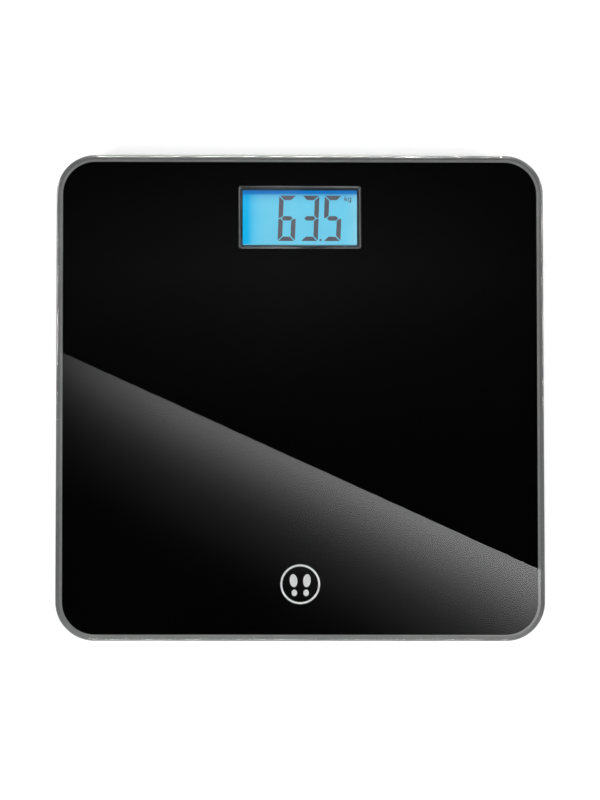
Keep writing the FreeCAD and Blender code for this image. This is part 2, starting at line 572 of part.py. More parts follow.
def pod_shell():
    """Upper shell of a pod, with standoffs for the load cell, corner bosses and a slot for the lead."""
    shell = pod_slab(0, Z_POD, Z_TAPE).cut(pod_slab(WALL, Z_POD - EPS, Z_POD_ROOF))
    corners = [disc(x, y, CORNER_BOSS_R, Z_POD, Z_POD_ROOF) for x, y in POD_CORNERS]
    standoffs = [disc(x, y, STANDOFF_R, Z_CELL + CELL_T, Z_POD_ROOF) for x, y in CELL_SCREWS + CELL_PADS]
    shell = fused([shell] + corners + standoffs)
    pilots = [disc(x, y, RING_SHANK_R, Z_POD - EPS, Z_POD + 6.0) for x, y in POD_CORNERS]
    pilots += [disc(x, y, CELL_SHANK_R, Z_CELL, Z_TAPE - 0.4) for x, y in CELL_SCREWS]
    slot = block(POD_SIDE / 2 - WALL - EPS, POD_SIDE / 2 + EPS, -SLOT_HALF, SLOT_HALF, SLOT_Z0, SLOT_Z1)
    return shell.cut(pilots + [slot])


def pod_ring():
    """The ring screwed under a pod shell, which keeps the foot in."""
    ring = pod_slab(0, Z_RING, Z_POD)
    ring = ring.makeFillet(1.2, rim_edges(ring, Z_RING))
    tools = [disc(0, 0, FOOT_R + FOOT_PLAY, Z_RING - EPS, Z_POD + EPS)]
    tools += [disc(x, y, RING_HEAD_R + 0.25, Z_RING - EPS, Z_RING + 1.1) for x, y in POD_CORNERS]
    tools += [disc(x, y, RING_SHANK_R + 0.05, Z_RING, Z_POD + EPS) for x, y in POD_CORNERS]
    return ring.cut(tools)


def pod_ring_screws():
    return [screw(x, y, Z_RING + 0.1, RING_HEAD_R, 1.0, RING_SHANK_R - 0.05, 5.6) for x, y in POD_CORNERS]


def load_cell():
    """Steel plate load cell: a frame, and a tongue that the foot bends upwards."""
    z0, z1 = Z_CELL - EPS, Z_CELL + CELL_T + EPS
    plate = slab(CELL_OFFSET, 0, CELL_SIDE, CELL_SIDE, 4.0, Z_CELL, Z_CELL + CELL_T)
    window = block(TONGUE_TIP - SLOT_W, TONGUE_ROOT, -TONGUE_HALF - SLOT_W, TONGUE_HALF + SLOT_W, z0, z1)
    tongue = block(TONGUE_TIP, TONGUE_ROOT + EPS, -TONGUE_HALF, TONGUE_HALF, z0 - EPS, z1 + EPS)
    holes = [disc(x, y, CELL_SHANK_R + 0.15, z0, z1) for x, y in CELL_SCREWS]
    return plate.cut([window.cut(tongue)] + holes)


def strain_gauge():
    """The gauge's bead of white potting, over the root of the tongue."""
    z1 = Z_CELL + CELL_T + BEAD_H
    bead = slab(TONGUE_ROOT, 0, BEAD_X, BEAD_Y, 2.0, Z_CELL + CELL_T, z1)
    return bead.makeFillet(0.5, rim_edges(bead, z1))


def load_cell_screws():
    head_r, head_h, shank_len = 2.2, 1.4, CELL_T + 2.8
    return [screw(x, y, Z_CELL - head_h, head_r, head_h, CELL_SHANK_R - 0.05, shank_len) for x, y in CELL_SCREWS]


def foot_cap():
    """The floating foot: a cup with ribs, a retaining flange and a domed boss under the load cell."""
    floor_z = Z_FOOT + FOOT_FLOOR
    flange_z = Z_POD + FLANGE_GAP
    rim_z = flange_z + FLANGE_T
    cup = disc(0, 0, FOOT_R, Z_FOOT, rim_z)
    cup = cup.makeFillet(0.8, rim_edges(cup, Z_FOOT))
    cup = fused([cup, disc(0, 0, FLANGE_R, flange_z, rim_z)])
    hollow = disc(0, 0, FOOT_R - WALL, floor_z, rim_z + EPS)
    cup = cup.cut([hollow, disc(0, 0, PAD_R + PAD_GAP, Z_FOOT - EPS, PAD_T)])
    boss = disc(0, 0, BOSS_FOOT_R, floor_z, Z_BOSS_FOOT)
    stem = disc(0, 0, TIP_R, Z_BOSS_FOOT, Z_CELL)
    dome = Part.makeSphere(DOME_R, Vector(0, 0, Z_CELL - DOME_R))
    ribs = [block(BOSS_FOOT_R - 1, FOOT_R - WALL + EPS, -RIB_T / 2, RIB_T / 2, floor_z, Z_RIB)
            for _ in range(RIB_COUNT)]
    for index, rib in enumerate(ribs):
        rib.rotate(Vector(0, 0, 0), UP, 360 / RIB_COUNT * index)
    return fused([cup, boss, stem.common(dome)] + ribs)


def foot_pad():
    """Anti-slip pad with two ring grooves in its tread."""
    pad = disc(0, 0, PAD_R, 0, PAD_T)
    pad = pad.makeFillet(0.7, rim_edges(pad, 0))
    grooves = [disc(0, 0, r + GROOVE_HALF, -EPS, GROOVE_DEPTH).cut(disc(0, 0, r - GROOVE_HALF, -1, 1))
               for r in PAD_GROOVES]
    return pad.cut(grooves)


# ---- leads and channels -------------------------------------------------------------------------
def cell_lead(side, end):
    """Three wires from a load cell to the board. side is -1 left or 1 right, end -1 front or 1 rear."""
    from_cell = POD_AT - TONGUE_ROOT - BEAD_X / 2
    wires = []
    for lane in (-WIRE_PITCH, 0.0, WIRE_PITCH):
        if end < 0:
            x, x_in, y_turn = side * (POD_AT + lane), side * (SOLDER_X + lane), TURN_Y + lane
            points = [Vector(x, -from_cell, Z_WIRE), Vector(x, y_turn, Z_WIRE), Vector(x_in, y_turn, Z_WIRE),
                      Vector(x_in, SOLDER_Y, Z_WIRE), Vector(x_in, SOLDER_Y, Z_BOARD_TOP)]
        else:
            x_in, y = side * SOLDER_X, POD_AT + lane
            points = [Vector(side * from_cell, y, Z_WIRE), Vector(x_in, y, Z_WIRE), Vector(x_in, y, Z_BOARD_TOP)]
        wires.append(tube(points, WIRE_R, WIRE_BEND))
    return wires


def wire_channel(side, end):
    """A U-shaped cover over a lead, glued to the print. Open at both ends and towards the glass."""
    inner_x = side * (HOUSING_X / 2 + CHANNEL_GAP)
    pod_edge = POD_AT - POD_SIDE / 2 - CHANNEL_GAP
    if end > 0:
        points = [Vector(side * pod_edge, POD_AT, 0), Vector(inner_x, POD_AT, 0)]
    else:
        x = side * POD_AT
        points = [Vector(x, -pod_edge, 0), Vector(x, TURN_Y, 0), Vector(inner_x, TURN_Y, 0)]
    outer = ribbon(points, CHANNEL_W, TURN_R, Z_CHANNEL, Z_PRINT)
    longer = list(points)
    longer[0] = points[0] - (points[1] - points[0]).normalize() * EPS
    longer[-1] = points[-1] + (points[-1] - points[-2]).normalize() * EPS
    inner = ribbon(longer, CHANNEL_W - 2 * CHANNEL_WALL, TURN_R, Z_CHANNEL + CHANNEL_WALL, Z_PRINT + EPS)
    return outer.cut(inner)


# ---- assembly -----------------------------------------------------------------------------------
CORNERS = {"front_left": (-1, -1), "front_right": (1, -1), "rear_left": (-1, 1), "rear_right": (1, 1)}


def at_pod(shape, side, end):
    """Carries a shape from a pod's own frame to one corner, with its lead pointing the right way."""
    heading = 90 if end < 0 else (0 if side < 0 else 180)
    moved = shape.copy()
    moved.Placement = Placement(Vector(side * POD_AT, end * POD_AT, 0), Rotation(UP, heading)) * moved.Placement
    return moved


def sub_parts():
    """Every node's name, with its solids."""
    nodes = {
        "glass_platform": [glass_platform()],
        "glass_back_print": [glass_back_print()],
        "display_bezel": [display_bezel()],
        "lcd_cell": [lcd_cell()],
        "lcd_polarisers": lcd_polarisers(),
        "backlight_diffuser": [guide_layer(Z_GUIDE_TOP, Z_LCD_BACK)],
        "backlight_light_guide": [backlight_light_guide()],
        "backlight_reflector": [guide_layer(Z_GUIDE - FILM_T, Z_GUIDE)],
        "backlight_leds": led_boxes(0, Z_GUIDE + 0.1, Z_GUIDE + 0.1 + LED_H),
        "display_frame": [display_frame()],
        "zebra_connector": [zebra_connector()],
        "main_board": [main_board()],
        "controller_chip": [controller_chip()],
        "board_components": board_components(),
        "board_screws": board_screws(),
        "unit_switch": [unit_switch()],
        "unit_switch_plunger": [unit_switch_plunger()],
        "unit_button": [unit_button()],
        "display_housing": [display_housing()],
        "housing_tape": [housing_tape()],
        "rear_cover": [rear_cover()],
        "cover_screws": cover_screws(),
        "battery_door": [battery_door()],
        "battery_cell_front": [battery_cell(CELL_FRONT_Y, -1)],
        "battery_cell_rear": [battery_cell(CELL_REAR_Y, 1)],
        "battery_springs": battery_springs(),
        "battery_plates": battery_plates(),
        "battery_leads": battery_leads(),
    }
    shared = {"pod_tape": [pod_slab(TAPE_INSET, Z_TAPE, Z_PRINT)], "pod_ring_screws": pod_ring_screws(),
              "load_cell_screws": load_cell_screws(), "strain_gauges": [strain_gauge()]}
    for name, solids in shared.items():
        nodes[name] = [at_pod(s, side, end) for side, end in CORNERS.values() for s in solids]
    single = {"pod_shell": pod_shell(), "pod_ring": pod_ring(), "load_cell": load_cell(),
              "foot_cap": foot_cap(), "foot_pad": foot_pad()}
    for corner, (side, end) in CORNERS.items():
        for name, shape in single.items():
            nodes[f"{name}_{corner}"] = [at_pod(shape, side, end)]
        nodes[f"cell_lead_{corner}"] = cell_lead(side, end)
    for name, side in (("left", -1), ("right", 1)):
        nodes[f"wire_channel_front_{name}"] = [wire_channel(side, -1)]
    nodes["wire_channels_rear"] = [wire_channel(side, 1) for side in (-1, 1)]
    return nodes


def main():
    os.makedirs("parts", exist_ok=True)
    for name, shapes in sub_parts().items():
        solids = [solid for shape in shapes for solid in shape.Solids]
        whole = solids[0] if len(solids) == 1 else Part.makeCompound(solids)
        whole.exportStep(os.path.join("parts", name + ".step"))


main()
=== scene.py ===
"""Looks for the digital bathroom scale: glass, display, moulded parts, floor, lights and camera.

Metres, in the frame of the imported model. +X is right, +Y is the display edge and +Z is up.
"""

import json
import math

import bmesh
import bpy
from mathutils import Matrix, Vector


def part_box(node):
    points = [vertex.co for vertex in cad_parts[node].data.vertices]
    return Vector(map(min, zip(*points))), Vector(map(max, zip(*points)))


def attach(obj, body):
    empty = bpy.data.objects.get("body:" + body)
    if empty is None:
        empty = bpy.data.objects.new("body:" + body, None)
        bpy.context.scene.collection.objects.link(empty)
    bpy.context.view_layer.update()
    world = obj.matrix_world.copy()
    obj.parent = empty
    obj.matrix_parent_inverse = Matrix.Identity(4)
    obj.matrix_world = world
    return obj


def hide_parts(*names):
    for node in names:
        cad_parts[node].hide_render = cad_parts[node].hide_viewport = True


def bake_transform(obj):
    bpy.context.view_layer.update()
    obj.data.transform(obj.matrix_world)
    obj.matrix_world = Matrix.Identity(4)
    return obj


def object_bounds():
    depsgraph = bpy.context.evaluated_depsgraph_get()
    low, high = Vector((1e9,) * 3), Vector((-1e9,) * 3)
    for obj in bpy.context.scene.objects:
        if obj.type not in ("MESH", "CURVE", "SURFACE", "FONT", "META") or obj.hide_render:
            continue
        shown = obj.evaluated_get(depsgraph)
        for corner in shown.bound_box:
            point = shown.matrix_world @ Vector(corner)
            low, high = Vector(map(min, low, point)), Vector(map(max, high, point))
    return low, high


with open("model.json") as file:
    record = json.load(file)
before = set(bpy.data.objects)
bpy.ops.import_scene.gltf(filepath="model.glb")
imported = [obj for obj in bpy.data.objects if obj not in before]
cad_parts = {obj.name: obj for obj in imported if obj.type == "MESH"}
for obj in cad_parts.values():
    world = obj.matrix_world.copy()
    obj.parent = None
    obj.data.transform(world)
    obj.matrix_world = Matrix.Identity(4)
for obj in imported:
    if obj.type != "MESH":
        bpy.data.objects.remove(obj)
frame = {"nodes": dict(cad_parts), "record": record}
CAD_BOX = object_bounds()
NODE_BODY = {node: body for body, nodes in frame["record"]["behaviour"]["bodies"].items() for node in nodes}
NODE_SLOT = {part["node"]: part["material_slot"] for part in frame["record"]["subparts"]}

MM = 0.001
WELD = 0.001 * MM               # points nearer than this are one
SHARP_ANGLE = math.radians(32)
NOISE_LOW, NOISE_HIGH = 0.3, 0.7    # most of a noise lies between these
GLASS_IOR = 1.5

# ---- driving values -----------------------------------------------------------------------------
CORNER_R = 24.0 * MM            # platform corner, seen from above
PENCIL_R = 2.7 * MM             # rounding of the glass edge
GROUND_RIM = 4.2 * MM           # matt rim of the underside, up to just past the print's edge
ARC_STEPS = 12                  # facets across the rounded edge
CORNER_STEPS = 28               # facets round a platform corner
SINK = 0.02 * MM                # thin layers sit this far into what they lie on

BEZEL_R, VIEW_R = 2.4 * MM, 0.8 * MM
BEZEL_SLOPE = 1.1 * MM
BEZEL_STEPS = 10                # facets round a corner of the frame
FLAT_BAND = 2                   # the frame's level face, which alone is metallised
VIEW_X, VIEW_Y = 70.8 * MM, 34.4 * MM

DIGIT_H, DIGIT_W = 28.2 * MM, 10.7 * MM
DIGIT_SLANT = math.tan(math.radians(2.2))
STROKE_V, STROKE_H = 2.8 * MM, 2.75 * MM    # thickness of upright and level segments
SEGMENT_GAP = 0.62 * MM
DIGIT_Y = -0.33 * MM
DIGITS = (("six", -7.85 * MM, "afgecd"), ("three", 6.25 * MM, "abgcd"), ("five", 20.25 * MM, "afgcd"))
POINT_AT, POINT_SIDE = (12.75 * MM, -13.8 * MM), 1.3 * MM
UNIT_AT, UNIT_STROKE = (29.7 * MM, 11.5 * MM), 0.50 * MM
UNIT_SCALE = (0.92, 1.18)

MARK_Y = -115.0 * MM            # a plain "step here" sign on the print
MARK_R, MARK_LINE = 12.2 * MM, 1.2 * MM
SOLE_AT, SOLE_R, SOLE_LEAN = (4.1 * MM, 2.2 * MM), (2.35 * MM, 4.0 * MM), 0.10
HEEL_AT, HEEL_R = (3.6 * MM, -5.3 * MM), (1.7 * MM, 2.0 * MM)

# a load cell's tongue, measured from the foot's middle; along it, towards the platform's middle
TONGUE_TIP, TONGUE_ROOT, TONGUE_HALF = -6.8 * MM, 14.0 * MM, 7.0 * MM
TONGUE_ROWS = (14.0, 12.5, 11.0, 9.5, 8.0, 6.0, 4.0, 0.0, -6.8)     # in mm

LENS, SENSOR = 290.0, 36.0
CAMERA_BACK = Vector((-0.0220, -0.1006, 0.9947)).normalized()
CAMERA_DISTANCE = 3.963
CAMERA_ROLL = math.radians(-0.05)
AIM_Y = -1.303 * MM
CAMERA_CLIP = 60.0

# the stage
FLOOR_REACH, FLOOR_DROP = 10.0, 0.1 * MM
FLOOR_GLOW = 0.38
FLAG_REACH = 0.4                # how far the dark cards on the floor stretch sideways
STRIP_LAMP_HEIGHT = 0.20        # of the low lamps that the glass edge mirrors
SKY = ((0.0, 1.0), (0.04, 0.85), (0.14, 0.26), (0.4, 0.20), (0.7, 0.22), (0.87, 0.02), (0.97, 0.010))
SKY_STRENGTH = 1.4

# light cards, given by their images on the glass
CARD_HEIGHT = 1.0               # above the glass
CARD_SCALE = 1.2538             # the card's size against its image on the glass
CARD_SHIFT = Vector((0.0221, 0.1015))
SHEEN_START, SHEEN_SLOPE = -39.3 * MM, -0.455
SHEEN_HALF, SHEEN_DROP = 190 * MM, 118 * MM
SHEEN_ALONG = ((-150, 0.7), (-141, 0.95), (-119, 1.5), (-76, 2.35), (-12, 3.0), (10, 3.25), (74, 4.1),
               (117, 4.4), (150, 4.7))              # strength at each x, in mm
SHEEN_FADE = ((0, 1.0), (5, 0.94), (15, 0.66), (24, 0.43), (32, 0.28), (42, 0.165), (51, 0.105), (60, 0.070),
              (70, 0.042), (83, 0.016), (97, 0.005), (116, 0.0))    # share left at each drop, in mm
SHEEN_MAX = 5.0
SHEEN_FADE_RATE = 1.04          # at its left end
SHEEN_WIDEN = 0.38              # how much slower the sheen fades at its right end
GLOW_LEFT, GLOW_RIGHT, GLOW_FRONT, GLOW_BACK = -0.20, 0.18, -0.05, 0.165
GLOW_WIDE = ((0.0, 0.0), (0.2, 0.5), (0.5, 1.0), (0.8, 0.5), (1.0, 0.0))
GLOW_TALL = ((0.0, 0.0), (0.2, 0.12), (0.4, 0.45), (0.6, 1.0), (0.75, 0.7), (1.0, 0.0))
GLOW_MAX = 0.13
GLOW_LIFT = 10 * MM             # above the sheen's card, which it overlaps
STRIP_MARGIN = 12 * MM          # room round the frame's image on its card
STRIP_MAX = 0.55
STRIP_UPPER = ((0.0, 0.44), (0.25, 0.90), (0.45, 0.92), (0.54, 0.10), (0.60, 0.03), (0.68, 0.15), (0.8, 0.50),
               (1.0, 0.52))
STRIP_LOWER = ((0.0, 0.20), (0.5, 0.50), (1.0, 0.95))
STRIP_LEFT = ((0.0, 0.35), (0.2, 0.10), (0.45, 0.12), (0.7, 0.75), (1.0, 0.60))
STRIP_RIGHT = ((0.0, 0.80), (0.3, 0.60), (0.45, 0.10), (0.6, 0.06), (0.75, 0.30), (1.0, 0.52))


# ---- mesh helpers -------------------------------------------------------------------------------
def rounded_loop(half_x, half_y, radius, steps, y=0.0):
    """Points round a rectangle with round corners, anticlockwise."""
    loop = []
    for quarter, (side, end) in enumerate(((1, 1), (-1, 1), (-1, -1), (1, -1))):
        for step in range(steps + 1):
            turn = (quarter + step / steps) * math.pi / 2
            loop.append((side * (half_x - radius) + radius * math.cos(turn),
                         y + end * (half_y - radius) + radius * math.sin(turn)))
    return loop


def ellipse(x, y, radius_x, radius_y, lean=0.0, steps=40):
    """Points round an ellipse, turned by lean radians."""
    points = []
    for step in range(steps):
        turn = 2 * math.pi * step / steps
        across, along = radius_x * math.cos(turn), radius_y * math.sin(turn)
        points.append((x + across * math.cos(lean) - along * math.sin(lean),
                       y + across * math.sin(lean) + along * math.cos(lean)))
    return points


def make_piece(name, bm, materials, body, stands_for=()):
    """Turns a bmesh into a piece that rides on its body, if one is given."""
    bmesh.ops.recalc_face_normals(bm, faces=bm.faces)
    for face in bm.faces:
        face.smooth = True
    mesh = bpy.data.meshes.new(name)
    bm.to_mesh(mesh)
    bm.free()
    mesh.set_sharp_from_angle(angle=SHARP_ANGLE)
    piece = bpy.data.objects.new(name, mesh)
    bpy.context.scene.collection.objects.link(piece)
    for material in materials:
        mesh.materials.append(material)
    piece.modifiers.new("even_shading", "WEIGHTED_NORMAL").keep_sharp = True
    if body:
        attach(piece, body)
    if stands_for:
        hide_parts(*stands_for)
    return piece


def add_loops(bm, loops, closed):
    """Joins loops of 3-D points with quads. Returns the rows of vertices and the faces between them."""
    rows = [[bm.verts.new(point) for point in loop] for loop in loops]
    pairs = list(zip(rows, rows[1:])) + ([(rows[-1], rows[0])] if closed else [])
    bands = []
    for low, high in pairs:
        count = len(low)
        bands.append([bm.faces.new((low[i], low[(i + 1) % count], high[(i + 1) % count], high[i]))
                      for i in range(count)])
    return rows, bands


def add_prism(bm, outline, z0, z1):
    """A flat plate with the given outline."""
    rows, _ = add_loops(bm, [[(x, y, z) for x, y in outline] for z in (z0, z1)], closed=False)
    bm.faces.new(rows[0][::-1])
    bm.faces.new(rows[1])


def add_stroke(bm, points, width, z0, z1):
    """A thin line of constant width through points, as one plate."""
    left, right = [], []
    for index, point in enumerate(points):
        before = Vector(points[max(index - 1, 0)])
        after = Vector(points[min(index + 1, len(points) - 1)])
        ahead = (after - before).normalized()
        side = Vector((-ahead.y, ahead.x)) * (width / 2)
        left.append(tuple(Vector(point) + side))
        right.append(tuple(Vector(point) - side))
    add_prism(bm, right + left[::-1], z0, z1)


# ---- material helpers ---------------------------------------------------------------------------
class Nodes:
    """Short ways to add nodes to a tree. Patterns read the given texture coordinate."""

    def __init__(self, tree, coordinate):
        self.tree = tree
        self.coordinates = tree.nodes.new("ShaderNodeTexCoord").outputs
        self.place = self.coordinates[coordinate]

    def feed(self, node, socket, value):
        target = node.inputs[socket]
        if isinstance(value, bpy.types.NodeSocket):
            self.tree.links.new(value, target)
        elif isinstance(value, (tuple, list)) and len(value) == 3 and target.type == "RGBA":
            target.default_value = (*value, 1.0)
        else:
            target.default_value = value

    def add(self, kind, inputs, output=0, **settings):
        node = self.tree.nodes.new("ShaderNode" + kind)
        for key, value in settings.items():
            setattr(node, key, value)
        for socket, value in inputs.items():
            self.feed(node, socket, value)
        return None if output is None else node.outputs[output]

    def noise(self, size, detail=3.0, roughness=0.55, stretch=(1.0, 1.0, 1.0)):
        """Noise whose features are about size metres across."""
        place = self.add("Mapping", {"Vector": self.place, "Scale": stretch})
        return self.add("TexNoise", {"Vector": place, "Scale": 1 / size, "Detail": detail,
                                     "Roughness": roughness})

    def ramp(self, factor, stops):
        """A colour ramp with (position, colour or grey) stops."""
        node = self.tree.nodes.new("ShaderNodeValToRGB")
        elements = node.color_ramp.elements
        while len(elements) < len(stops):
            elements.new(1.0)
        for element, (position, colour) in zip(elements, stops):
            element.position = position
            element.color = (*colour, 1.0) if isinstance(colour, tuple) else (colour, colour, colour, 1.0)
        self.tree.links.new(factor, node.inputs["Fac"])
        return node.outputs["Color"]

    def range(self, value, low, high, to_low, to_high):
        """value, carried from one range to another and kept inside it."""
        return self.add("MapRange", {"Value": value, "From Min": low, "From Max": high,
                                     "To Min": to_low, "To Max": to_high})

    def spread(self, noise, to_low, to_high):
        """A noise, carried to a range that it fills."""
        return self.range(noise, NOISE_LOW, NOISE_HIGH, to_low, to_high)

    def math(self, operation, a, b=0.0):
        node = self.tree.nodes.new("ShaderNodeMath")
        node.operation = operation
        self.feed(node, 0, a)
        self.feed(node, 1, b)
        return node.outputs[0]

    def mix(self, factor, a, b):
        """Colour a where factor is 0 and b where it is 1."""
        node = self.tree.nodes.new("ShaderNodeMix")
        node.data_type = "RGBA"
        for index, value in ((0, factor), (6, a), (7, b)):
            self.feed(node, index, value)
        return node.outputs[2]

    def axis(self, name, place=None):
        """One part of the coordinate: metres in the row frame, or the share across a card."""
        return self.add("SeparateXYZ", {"Vector": place or self.place}, output=name)


class Finish(Nodes):
    """A material round one Principled shader."""

    def __init__(self, name, **sockets):
        self.material = bpy.data.materials.new(name)
        self.material.use_nodes = True
        super().__init__(self.material.node_tree, "Object")
        self.shader = self.tree.nodes["Principled BSDF"]
        for socket, value in sockets.items():
            self.feed(self.shader, socket.replace("_", " "), value)

    def bump(self, height, depth, strength=1.0):
        normal = self.add("Bump", {"Height": height, "Distance": depth, "Strength": strength})
        self.feed(self.shader, "Normal", normal)


def shade(colour, share):
    return tuple(channel * share for channel in colour)


def moulded(name, colour, roughness=0.5, grain=0.35 * MM, depth=0.02 * MM, cloud=14 * MM, worn=0.06,
            **sockets):
    """Moulded plastic or rubber: spark-eroded grain, slow colour drift, and faint scuffs."""
    finish = Finish(name, **sockets)
    drift = finish.noise(cloud, detail=4.0)
    body = finish.mix(finish.range(drift, 0.35, 0.65, 0.0, 1.0), shade(colour, 0.88), shade(colour, 1.12))
    scuff = finish.noise(5 * MM, detail=6.0, roughness=0.7, stretch=(1.0, 0.35, 1.0))
    scuffed = finish.range(scuff, 0.62, 0.78, 0.0, worn)
    pale = tuple(min(channel + 0.25, 1.0) for channel in colour)
    finish.feed(finish.shader, "Base Color", finish.mix(scuffed, body, pale))
    finish.feed(finish.shader, "Roughness", finish.spread(drift, roughness - 0.06, roughness + 0.08))
    finish.bump(finish.noise(grain, detail=2.0), depth, 0.6)
    return finish.material


def brushed(name, colour, roughness=0.32, stretch=(1.0, 0.02, 1.0), depth=0.01 * MM):
    """Rolled or brushed metal with long fine lines and a few darker blotches."""
    finish = Finish(name, Metallic=1.0)
    lines = finish.noise(0.5 * MM, detail=4.0, stretch=stretch)
    blotch = finish.noise(9 * MM, detail=5.0)
    tone = finish.mix(finish.spread(lines, 0.0, 1.0), shade(colour, 0.85), shade(colour, 1.1))
    stained = finish.mix(finish.range(blotch, 0.55, 0.75, 0.0, 0.35), tone, shade(colour, 0.6))
    finish.feed(finish.shader, "Base Color", stained)
    finish.feed(finish.shader, "Roughness", finish.spread(lines, roughness - 0.08, roughness + 0.12))
    finish.bump(lines, depth, 0.5)
    return finish.material


# ---- materials of the part ----------------------------------------------------------------------
def polished_glass():
    """Toughened glass: clear and glossy, with a trace of wiping marks."""
    finish = Finish("polished_glass", IOR=GLASS_IOR, Base_Color=(0.975, 0.985, 0.98), Transmission_Weight=1.0)
    smear = finish.noise(30 * MM, detail=5.0, stretch=(1.0, 0.4, 1.0))
    finish.feed(finish.shader, "Roughness", finish.range(smear, 0.35, 0.75, 0.0, 0.012))
    return finish.material


def inset_of(finish):
    """How far in from the platform's outline a point lies, in metres."""
    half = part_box("glass_platform")[1].x - CORNER_R
    over = [finish.math("SUBTRACT", finish.math("ABSOLUTE", finish.axis(name)), half) for name in ("X", "Y")]
    outside = [finish.math("MAXIMUM", value, 0.0) for value in over]
    squares = [finish.math("MULTIPLY", value, value) for value in outside]
    reach = finish.math("SQRT", finish.math("ADD", *squares))
    within = finish.math("MINIMUM", finish.math("MAXIMUM", *over), 0.0)
    return finish.math("SUBTRACT", CORNER_R, finish.math("ADD", reach, within))


def edge_glass():
    """The rounded rim of the glass, polished less finely than its faces."""
    finish = Finish("edge_glass", IOR=GLASS_IOR, Base_Color=(0.95, 0.97, 0.965), Transmission_Weight=1.0)
    grit = finish.noise(3.0 * MM, detail=4.0)
    finish.feed(finish.shader, "Roughness", finish.spread(grit, 0.10, 0.12))
    return finish.material


def ground_glass():
    """The lower edge and the unprinted rim, ground matt, with painted highlight and shade bands that follow
    the platform's outline.
    """
    finish = Finish("ground_glass", IOR=GLASS_IOR, Transmission_Weight=0.1)
    grit = finish.noise(0.25 * MM, detail=3.0)
    drift = finish.noise(20 * MM, detail=3.0)
    # painted light and shade: the paler outer bands stand in for a highlight, the darkest band for a shade
    # line
    steps = finish.ramp(finish.range(inset_of(finish), 0.0, GROUND_RIM, 0.0, 1.0),
                        ((0.0, 0.44), (0.22, 0.38), (0.36, 0.28), (0.47, 0.09), (0.56, 0.10), (0.64, 0.20),
                         (0.85, 0.22), (1.0, 0.20)))
    finish.feed(finish.shader, "Base Color",
                finish.mix(finish.range(drift, 0.35, 0.65, 0.0, 0.15), steps, (0.10, 0.10, 0.10)))
    finish.feed(finish.shader, "Roughness", finish.spread(grit, 0.40, 0.55))
    finish.bump(grit, 0.02 * MM, 0.5)
    return finish.material


def black_print():
    """Screen-printed enamel, deep black where it is fired onto the glass, and charcoal on its free side."""
    finish = Finish("black_print", Specular_IOR_Level=0.0)
    cloud = finish.spread(finish.noise(40 * MM, detail=3.0), 0.0, 1.0)
    mesh_marks = finish.noise(0.6 * MM, detail=1.0)
    fired = finish.mix(cloud, (0.0004, 0.0004, 0.0005), (0.0008, 0.0008, 0.0009))
    free = finish.mix(cloud, (0.016, 0.016, 0.017), (0.024, 0.024, 0.025))
    upward = finish.range(finish.axis("Z", finish.coordinates["Normal"]), -0.5, 0.5, 0.0, 1.0)
    finish.feed(finish.shader, "Base Color", finish.mix(upward, free, fired))
    finish.feed(finish.shader, "Roughness", finish.spread(mesh_marks, 0.8, 0.95))
    finish.bump(mesh_marks, 0.01 * MM, 0.3)
    return finish.material


def white_print():
    """White screen print, with the slightly uneven density of a hand-pulled ink."""
    finish = Finish("white_print", Specular_IOR_Level=0.0)
    density = finish.noise(0.8 * MM, detail=3.0)
    finish.feed(finish.shader, "Base Color",
                finish.mix(finish.spread(density, 0.0, 1.0), (0.80, 0.80, 0.80), (0.90, 0.90, 0.90)))
    finish.feed(finish.shader, "Roughness", finish.spread(density, 0.6, 0.8))
    return finish.material


def dark_chrome():
    """Smoked vacuum metallising: almost a mirror, with a faint haze."""
    finish = Finish("dark_chrome", Metallic=1.0)
    haze = finish.noise(3 * MM, detail=4.0)
    finish.feed(finish.shader, "Base Color",
                finish.mix(finish.spread(haze, 0.0, 1.0), (0.37, 0.375, 0.385), (0.42, 0.42, 0.43)))
    finish.feed(finish.shader, "Roughness", finish.spread(haze, 0.03, 0.045))
    return finish.material


def lit_film(centre_y):
    """The display's front film, lit blue from behind and deeper in colour along the lamp's side, darker along
    its top, with a painted shade line round its edge.
    """
    finish = Finish("lit_film", Base_Color=(0.002, 0.006, 0.008), Roughness=0.6, Specular_IOR_Level=0.0,
                    Emission_Strength=1.0)
    x, y = finish.axis("X"), finish.math("SUBTRACT", finish.axis("Y"), centre_y)
    half_x, half_y = VIEW_X / 2, VIEW_Y / 2
    centre, deep, top = (0.180, 0.675, 0.930), (0.0005, 0.50, 0.93), (0.0005, 0.17, 0.56)
    pale, low = (0.26, 0.72, 0.92), (0.16, 0.50, 0.68)
    left = finish.ramp(finish.range(x, -half_x, -half_x + 14 * MM, 0.0, 1.0),
                       ((0.0, 1.0), (0.22, 0.98), (0.34, 0.72), (0.45, 0.44), (0.7, 0.14), (1.0, 0.0)))
    upper = finish.ramp(finish.range(y, half_y, half_y - 9 * MM, 0.0, 1.0),
                        ((0.0, 1.0), (0.22, 0.97), (0.30, 0.58), (0.42, 0.27), (0.7, 0.08), (1.0, 0.0)))
    right = finish.range(x, half_x - 7 * MM, half_x - 1 * MM, 0.0, 1.0)
    bottom = finish.range(y, -half_y + 1.2 * MM, -half_y + 0.4 * MM, 0.0, 1.0)
    colour = finish.mix(left, centre, deep)
    colour = finish.mix(right, colour, pale)
    colour = finish.mix(upper, colour, top)
    colour = finish.mix(bottom, colour, low)
    off_x = finish.math("SUBTRACT", finish.math("ABSOLUTE", x), half_x)
    off_y = finish.math("SUBTRACT", finish.math("ABSOLUTE", y), half_y)
    # painted shade: a thin dark line round the film's edge, where the frame meets it
    painted_frame_shade = finish.range(finish.math("MAXIMUM", off_x, off_y), -0.30 * MM, -0.10 * MM, 0.0, 1.0)
    colour = finish.mix(painted_frame_shade, colour, (0.004, 0.006, 0.008))
    cells = finish.noise(12 * MM, detail=2.0)
    dimmed = finish.mix(finish.spread(cells, 0.0, 0.06), colour, (0, 0, 0))
    finish.feed(finish.shader, "Emission Color", dimmed)
    finish.bump(finish.noise(0.2 * MM), 0.002 * MM, 0.2)
    return finish.material


